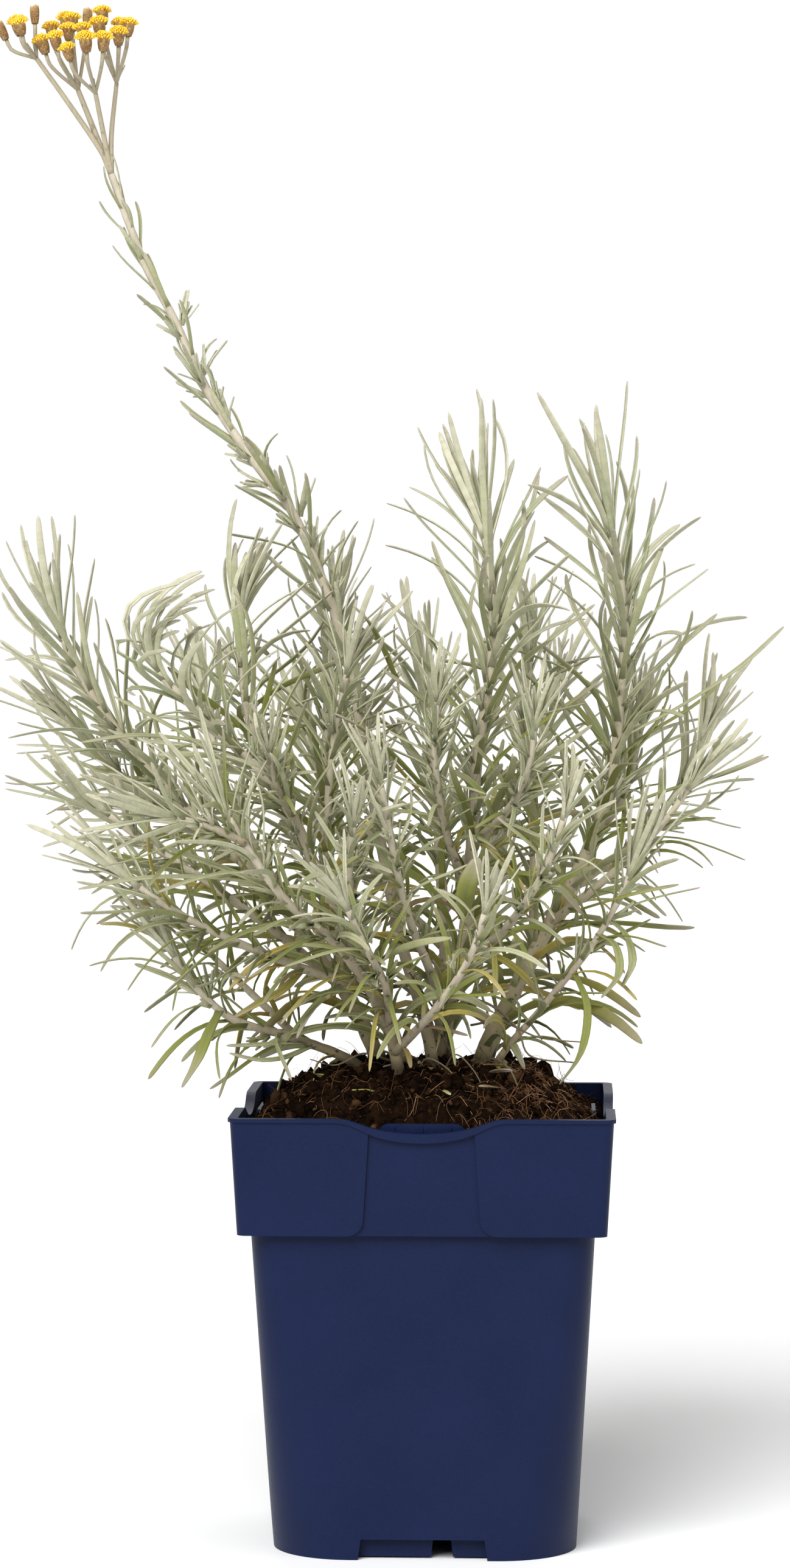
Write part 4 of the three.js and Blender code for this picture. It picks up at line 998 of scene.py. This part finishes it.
class Solid:
    """A closed mesh that can be joined to others and cut by them."""

    def __init__(self, vertices, faces):
        mesh = bpy.data.meshes.new("solid")
        mesh.from_pydata([tuple(v) for v in np.asarray(vertices) * MM], [], faces)
        self.object = bpy.data.objects.new("solid", mesh)
        bpy.context.collection.objects.link(self.object)

    @classmethod
    def rings(cls, rings):
        rings = np.array(rings)
        faces = [tuple(int(i) for i in f) for group in tube_faces(*rings.shape[:2]) for f in group]
        return cls(rings.reshape(-1, 3), faces)

    @classmethod
    def plate(cls, outline, near, far, lean=0.0):
        """A plate in the front side's plane, from y near to y far. It leans out with height."""
        outline = np.array(outline)
        rings = []
        for y in (near, far):
            depth = y - lean * (outline[:, 1] - COLLAR_FOOT_Z)
            rings.append(np.column_stack([outline[:, 0], depth, outline[:, 1]]))
        area = np.sum(outline[:, 0] * np.roll(outline[:, 1], -1)
                      - np.roll(outline[:, 0], -1) * outline[:, 1])
        if area > 0:
            rings = [ring[::-1] for ring in rings]
        return cls.rings(rings)

    @classmethod
    def box(cls, x, y, z, lean=0.0):
        outline = [(x[0], z[0]), (x[1], z[0]), (x[1], z[1]), (x[0], z[1])]
        return cls.plate(outline, y[0], y[1], lean)

    def around(self):
        """Four copies, one on each side of the pot, as one solid."""
        mesh = self.object.data
        work = bmesh.new()
        for quarter in range(4):
            copy = bmesh.new()
            copy.from_mesh(mesh)
            c, s = round(math.cos(quarter * math.pi / 2)), round(math.sin(quarter * math.pi / 2))
            for vertex in copy.verts:
                x, y, z = vertex.co
                vertex.co = (c * x - s * y, s * x + c * y, z)
            part = bpy.data.meshes.new("part")
            copy.to_mesh(part)
            copy.free()
            work.from_mesh(part)
            bpy.data.meshes.remove(part)
        work.to_mesh(mesh)
        work.free()
        return self

    def combine(self, other, operation):
        modifier = self.object.modifiers.new("cut", "BOOLEAN")
        modifier.operation = operation
        modifier.solver = "MANIFOLD"
        modifier.object = other.object
        graph = bpy.context.evaluated_depsgraph_get()
        made = bpy.data.meshes.new_from_object(self.object.evaluated_get(graph))
        self.object.modifiers.clear()
        old = self.object.data
        self.object.data = made
        bpy.data.meshes.remove(old)
        spent = other.object.data
        bpy.data.objects.remove(other.object)
        bpy.data.meshes.remove(spent)
        return self

    def add(self, other):
        return self.combine(other, "UNION")

    def cut(self, other):
        return self.combine(other, "DIFFERENCE")

    def take_mesh(self):
        mesh = self.object.data
        bpy.data.objects.remove(self.object)
        return mesh


SLOPE = (RIM_HALF - COLLAR_FOOT_HALF) / (POT_HEIGHT - COLLAR_FOOT_Z)


def body_form(inset, low, high, levels=9):
    return Solid.rings([rounded_square(body_half(z) - inset, body_corner(z) - inset, z)
                        for z in np.linspace(low, high, levels)])


def collar_form(inset, low, high):
    corner = CORNER_TOP - min(inset, 1.5)
    return Solid.rings([rounded_square(collar_half(z) - inset, corner, z) for z in (low, high)])


def bezier(points, steps=8):
    a, b, c, d = (np.array(p, float) for p in points)
    s = np.linspace(0, 1, steps + 1)[1:, None]
    return list(a * (1 - s)**3 + 3 * b * s * (1 - s)**2 + 3 * c * s**2 * (1 - s) + d * s**3)


def dip_line(top, depth, way):
    """The dip in a side's rim, from one end of it to the other."""
    def at(share, drop):
        return (way * share * DIP_HALF, top - drop * depth)

    line = [np.array(at(-1, 0))]
    line += bezier([at(-1, 0), at(-0.84, 0), at(-0.72, 0.36), at(-0.6, 0.57)])
    line += bezier([at(-0.6, 0.57), at(-0.42, 0.88), at(-0.2, 1), at(0, 1)])
    line += bezier([at(0, 1), at(0.2, 1), at(0.42, 0.88), at(0.6, 0.57)])
    line += bezier([at(0.6, 0.57), at(0.72, 0.36), at(0.84, 0), at(1, 0)])
    return line


def panel_outline():
    a, b, r, z = PANEL_TOP_HALF, PANEL_FOOT_HALF, PANEL_CORNER, COLLAR_FOOT_Z
    left = bezier([(-b, z + r), (-b, z + r * 0.35), (-b - r * 0.65, z), (-b - r, z)], 6)
    right = bezier([(b + r, z), (b + r * 0.65, z), (b, z + r * 0.35), (b, z + r)], 6)
    return [(a, POT_HEIGHT + 1), (-a, POT_HEIGHT + 1), (-b, z + r), *left, (-b - r, z - 1),
            (b + r, z - 1), (b + r, z), *right]


def lip_outline():
    end, below = RIM_HALF - 2, POT_HEIGHT - LIP_HEIGHT
    deeper = DIP_DEPTH + DIP_LIP_HEIGHT - LIP_HEIGHT
    return [(end, POT_HEIGHT), *dip_line(POT_HEIGHT, DIP_DEPTH, -1), (-end, POT_HEIGHT),
            (-end, below), *dip_line(below, deeper, 1), (end, below)]


def label_pocket():
    front = -COLLAR_FOOT_HALF + COLLAR_WALL - 0.4
    back = -COLLAR_FOOT_HALF + COLLAR_WALL + POCKET_GAP
    w, r, top, foot = POCKET_HALF, POCKET_CORNER, POCKET_TOP_Z, POCKET_FOOT_Z
    right = bezier([(w, top - r), (w, top - r * 0.4), (w - r * 0.6, top), (w - r, top)], 5)
    left = bezier([(-w + r, top), (-w + r * 0.6, top), (-w, top - r * 0.4), (-w, top - r)], 5)
    wall = [(w, foot), (w, top - r), *right, (-w + r, top), *left, (-w, foot)]
    end = back + POCKET_WALL / 2
    body = Solid.plate(wall, back, back + POCKET_WALL, SLOPE)
    body.add(Solid.box((-w, w), (front, end), (foot - POCKET_WALL, foot), SLOPE))
    for side in (-1, 1):
        x = sorted((side * w, side * (w - POCKET_WALL)))
        body.add(Solid.box(x, (front, end), (foot - 0.5, top - 6), SLOPE))
    for i in range(RIB_COUNT):
        x = (i - (RIB_COUNT - 1) / 2) * RIB_SPACING
        body.add(Solid.box((x - 0.3, x + 0.3), (back - 0.5, end), (foot - 0.5, top - 0.8), SLOPE))
    return body


def cylinder(radius, low, high, x, y, sides=32):
    angle = np.linspace(0, 2 * np.pi, sides, endpoint=False)
    ring = np.column_stack([x + radius * np.cos(angle), y + radius * np.sin(angle)])
    return Solid.rings([np.column_stack([ring, np.full(sides, z)]) for z in (low, high)])


def foot_boss():
    boss = cylinder(BOSS_RADIUS, 0, FLOOR_Z + 0.5, 0, 0)
    for quarter in range(4):
        angle = math.pi / 4 + quarter * math.pi / 2
        along = np.array((math.cos(angle), math.sin(angle)))
        across = np.array((-along[1], along[0])) * 0.7
        corners = [along * 5 - across, along * 31 - across, along * 31 + across, along * 5 + across]
        boss.add(Solid.rings([[(*c, z) for c in corners] for z in (1, FLOOR_Z + 0.5)]))
    return boss


def foot_ring():
    def form(inset, low):
        corner = CORNER_FOOT - 3 - inset
        return Solid.rings([rounded_square(RING_HALF - inset, corner, z)
                            for z in (low, FLOOR_Z + 0.5)])

    outline = [(SLOT_OFFSET + SLOT_HALF + 0.8, -1), (SLOT_OFFSET + SLOT_HALF, FLOOR_Z),
               (SLOT_OFFSET - SLOT_HALF, FLOOR_Z), (SLOT_OFFSET - SLOT_HALF - 0.8, -1)]
    slots = Solid.plate(outline, -BODY_FOOT_HALF, -RING_HALF + 5).around()
    return form(0, RING_FOOT_Z).cut(form(WALL, -1)).cut(slots)


def pot_solid():
    pot = body_form(0, 0, COLLAR_FOOT_Z + 0.5).add(collar_form(0, COLLAR_FOOT_Z, POT_HEIGHT))
    pot.cut(Solid.plate(panel_outline(), -RIM_HALF - 5, -COLLAR_FOOT_HALF + PANEL_DEPTH,
                        SLOPE).around())
    pot.add(collar_form(-LIP, POT_HEIGHT - LIP_HEIGHT, POT_HEIGHT))
    dip = [*dip_line(POT_HEIGHT, DIP_DEPTH, -1), (-DIP_HALF, POT_HEIGHT + 5),
           (DIP_HALF, POT_HEIGHT + 5)]
    pot.cut(Solid.plate(dip, -RIM_HALF - 5, -RIM_HALF + COLLAR_WALL + 1).around())
    pot.add(Solid.plate(lip_outline(), -COLLAR_FOOT_HALF - LIP, -COLLAR_FOOT_HALF + 1.5,
                        SLOPE).around())
    pot.cut(body_form(WALL, FLOOR_Z + WALL, COLLAR_FOOT_Z + 2))
    pot.cut(collar_form(COLLAR_WALL, COLLAR_FOOT_Z + WALL, POT_HEIGHT + 10))
    under = [rounded_square(body_half(0) - WALL, body_corner(0) - WALL, z) for z in (-1, FLOOR_Z)]
    pot.cut(Solid.rings(under)).add(foot_ring()).add(foot_boss())
    pot.add(label_pocket().around())
    notch = [(NOTCH_FOOT_HALF, -1), (NOTCH_TOP_HALF, FLOOR_Z), (-NOTCH_TOP_HALF, FLOOR_Z),
             (-NOTCH_FOOT_HALF, -1)]
    pot.cut(Solid.plate(notch, -BODY_FOOT_HALF - 5, -RING_HALF - 0.6).around())
    pot.cut(cylinder(DRAIN_RADIUS, FLOOR_Z - 1, FLOOR_Z + 3, DRAIN_OUT, 0, 24).around())
    return pot


def build_pot(material):
    mesh = pot_solid().take_mesh()
    mesh.name = "nursery_pot"
    work = bmesh.new()
    work.from_mesh(mesh)
    bmesh.ops.remove_doubles(work, verts=work.verts, dist=1e-6)
    bmesh.ops.dissolve_limit(work, angle_limit=math.radians(0.4), verts=work.verts,
                             edges=work.edges)
    work.to_mesh(mesh)
    work.free()
    for polygon in mesh.polygons:
        polygon.use_smooth = True
    mesh.materials.clear()
    pot = add_piece("nursery_pot", mesh, material, "pot", "pot")
    bevel = pot.modifiers.new("edges", "BEVEL")
    bevel.width = 0.28 * MM
    bevel.segments = 2
    bevel.limit_method = "ANGLE"
    bevel.angle_limit = math.radians(40)
    bevel.use_clamp_overlap = True
    weighted = pot.modifiers.new("normals", "WEIGHTED_NORMAL")
    weighted.keep_sharp = True
    return pot


# ---- the soil ---------------------------------------------------------------------------------
SOIL_EDGE_Z = 122.3
SOIL_RISE = 15.5
SOIL_PLATEAU = 50
SOIL_GRID = 200
CRUMBS = 3600
FIBRES = 1050
FALLEN_LEAVES = 20


def lattice_noise(x, y, size, seed):
    """Smooth random values from -1 to 1 with lumps of about that size."""
    rng = np.random.default_rng(seed)
    grid = rng.uniform(-1, 1, (64, 64))
    u, v = x / size + 31, y / size + 31
    i, j = np.floor(u).astype(int), np.floor(v).astype(int)
    s, t = u - i, v - j
    s, t = s * s * (3 - 2 * s), t * t * (3 - 2 * t)
    i, j = i % 63, j % 63
    low = grid[i, j] * (1 - s) + grid[i + 1, j] * s
    high = grid[i, j + 1] * (1 - s) + grid[i + 1, j + 1] * s
    return low * (1 - t) + high * t


def mound(x, y):
    """The height of the CAD model's soil."""
    out = np.minimum(1, (np.abs(x)**4 + np.abs(y)**4) ** 0.25 / SOIL_PLATEAU)
    lumps = np.sin(x * 0.31 + 1.2) * np.cos(y * 0.27 + 0.4)
    return SOIL_EDGE_Z + SOIL_RISE * (1 - out**3.2) + lumps * (1 - out)


def soil_height(x, y):
    """The soil's height with its clods and grains."""
    rough = (1.8 * lattice_noise(x, y, 8.0, 1) + 2.4 * np.abs(lattice_noise(x, y, 3.6, 2))
             + 1.1 * lattice_noise(x, y, 1.9, 3) + 0.7 * lattice_noise(x, y, 1.0, 4))
    return mound(x, y) + rough - 1.0


def build_soil(peat):
    half = collar_half(SOIL_EDGE_Z) - COLLAR_WALL - 0.25
    line = np.linspace(-half, half, SOIL_GRID)
    x, y = (grid.ravel() for grid in np.meshgrid(line, line, indexing="ij"))
    z = soil_height(x, y)
    rim = np.maximum(np.abs(x), np.abs(y)) > half - 0.3
    z = np.where(rim, np.minimum(z, SOIL_EDGE_Z), z)
    slot_depth = COLLAR_FOOT_HALF - COLLAR_WALL - POCKET_GAP - POCKET_WALL - 0.3
    for across, deep in ((x, y), (y, x)):
        in_pocket = (np.abs(across) < POCKET_HALF + 0.3) & (np.abs(deep) > slot_depth + 1.0)
        z = np.where(in_pocket, POCKET_FOOT_Z - 2.0, z)
    vertices = np.column_stack([x, y, z])
    index = np.arange(SOIL_GRID**2).reshape(SOIL_GRID, SOIL_GRID)
    quads = np.stack([index[:-1, :-1], index[1:, :-1], index[1:, 1:], index[:-1, 1:]], -1)
    edge = np.concatenate([index[:-1, 0], index[-1, :-1], index[:0:-1, -1], index[0, :0:-1]])
    skirt = vertices[edge].copy()
    skirt[:, 2] = 100.0
    skirt[:, :2] *= 0.965
    low = np.arange(len(edge)) + SOIL_GRID**2
    wall = np.stack([edge, low, np.roll(low, -1), np.roll(edge, -1)], -1)
    soil = Builder("tint")
    tint = np.concatenate([np.clip(0.5 + 0.5 * lattice_noise(x, y, 2.6, 9), 0, 1) * 0.62,
                           np.zeros(len(edge))])
    faces = [quads.reshape(-1, 4), wall, low[::-1][None, :]]
    soil.add(np.concatenate([vertices, skirt]), faces, tint=tint)
    soil.piece("potting_soil_surface", peat, "soil", "potting_soil")


@lru_cache(None)
def ball():
    """A small round mesh: its points and triangles."""
    work = bmesh.new()
    bmesh.ops.create_icosphere(work, subdivisions=1, radius=1)
    points = np.array([v.co[:] for v in work.verts])
    faces = np.array([[v.index for v in f.verts] for f in work.faces])
    work.free()
    return points, faces


def clear_of_pocket(x, y):
    for across, deep in ((x, y), (y, x)):
        if abs(across) < POCKET_HALF + 1 and abs(deep) > 44.5:
            return False
    return True


def build_crumbs(peat):
    """Loose grains and clods on the soil."""
    crumbs = Builder("tint")
    points, faces = ball()
    for _ in range(CRUMBS):
        x, y = random.uniform(-50.5, 50.5, 2)
        radius = min(2.4, 0.3 + random.exponential(0.42))
        if max(abs(x), abs(y)) > 50.8 - radius or not clear_of_pocket(x, y):
            continue
        z = float(soil_height(np.array(x), np.array(y))) + radius * 0.25
        shape = points * (1 + random.normal(0, 0.33, (len(points), 1)))
        shape = shape * random.uniform(0.6, 1.2, 3) * radius
        turn = random.uniform(0, math.pi)
        c, s = math.cos(turn), math.sin(turn)
        shape = shape @ np.array([[c, s, 0], [-s, c, 0], [0, 0, 1]])
        crumbs.add(shape + (x, y, z), [faces], tint=random.random() ** 2)
    crumbs.piece("soil_crumbs", peat, "soil")


def build_fibres(fibre):
    """Coir fibres and fine roots, most of them at the right, and some that stand up."""
    fibres = Builder("tint")
    for _ in range(FIBRES):
        x, y = random.uniform(-49, 49, 2)
        if random.random() < 0.45:
            x, y = random.normal(32, 11), random.normal(-12, 26)
        if max(abs(x), abs(y)) > 49 or not clear_of_pocket(x, y):
            continue
        length = random.uniform(3, 13)
        heading = random.uniform(0, 2 * math.pi)
        bend = random.normal(0, 1.1)
        lift = random.uniform(0, 1.4) if random.random() < 0.82 else random.uniform(2, 7)
        points = []
        for share in np.linspace(0, 1, 5):
            angle = heading + bend * (share - 0.5)
            px = float(np.clip(x + length * (share - 0.5) * math.cos(angle), -50.6, 50.6))
            py = float(np.clip(y + length * (share - 0.5) * math.sin(angle), -50.6, 50.6))
            pz = float(soil_height(np.array(px), np.array(py)))
            hump = math.sin(math.pi * share) if lift < 2 else share
            points.append((px, py, pz + 0.15 + lift * hump + random.uniform(0, 0.3)))
        radius = random.uniform(0.04, 0.11)
        add_cord(fibres, points, radius, radius * 0.6, sides=3, tint=random.random())
    fibres.piece("soil_fibres", fibre, "soil")


def build_litter(leaf):
    """Fallen leaves round the crown, most of them dry."""
    litter = Builder("age_and_shade", "tint", "along", "groove")
    for _ in range(FALLEN_LEAVES):
        angle, out = random.uniform(0, 2 * math.pi), random.uniform(4, 38)
        x, y = out * math.cos(angle), out * math.sin(angle) - 3
        if max(abs(x), abs(y)) > 44:
            continue
        z = float(soil_height(np.array(x), np.array(y))) + 0.8
        heading = random.uniform(0, 2 * math.pi)
        flat = np.array((math.cos(heading), math.sin(heading), 0.0))
        grow_leaf(litter, np.array((x, y, z)), flat, UP, random.uniform(6, 17),
                  random.uniform(0.8, 1.5), random.uniform(0.1, 0.5), random.uniform(0.3, 0.9),
                  sway=random.normal(0, 0.7), twist=random.normal(0, 1.2),
                  age_and_shade=random.choice([0.7, 1.05, 1.15, 1.2]), tint=random.random(), broad=0.2)
    litter.piece("dry_leaves", leaf, "shoot")


# ---- the whole --------------------------------------------------------------------------------
def main():
    make_camera()
    make_studio()
    bark, leaf = stem_material(), leaf_material()
    peat, fibre = soil_material(), fibre_material()
    build_pot(pot_material())
    build_soil(peat)
    build_crumbs(peat)
    build_fibres(fibre)
    build_litter(leaf)
    build_stems(bark, leaf)
    build_single_leaves(leaf)
    build_twigs(bark)
    build_stalk(bark, leaf)
    build_heads(bract_material(), floret_material())


main()
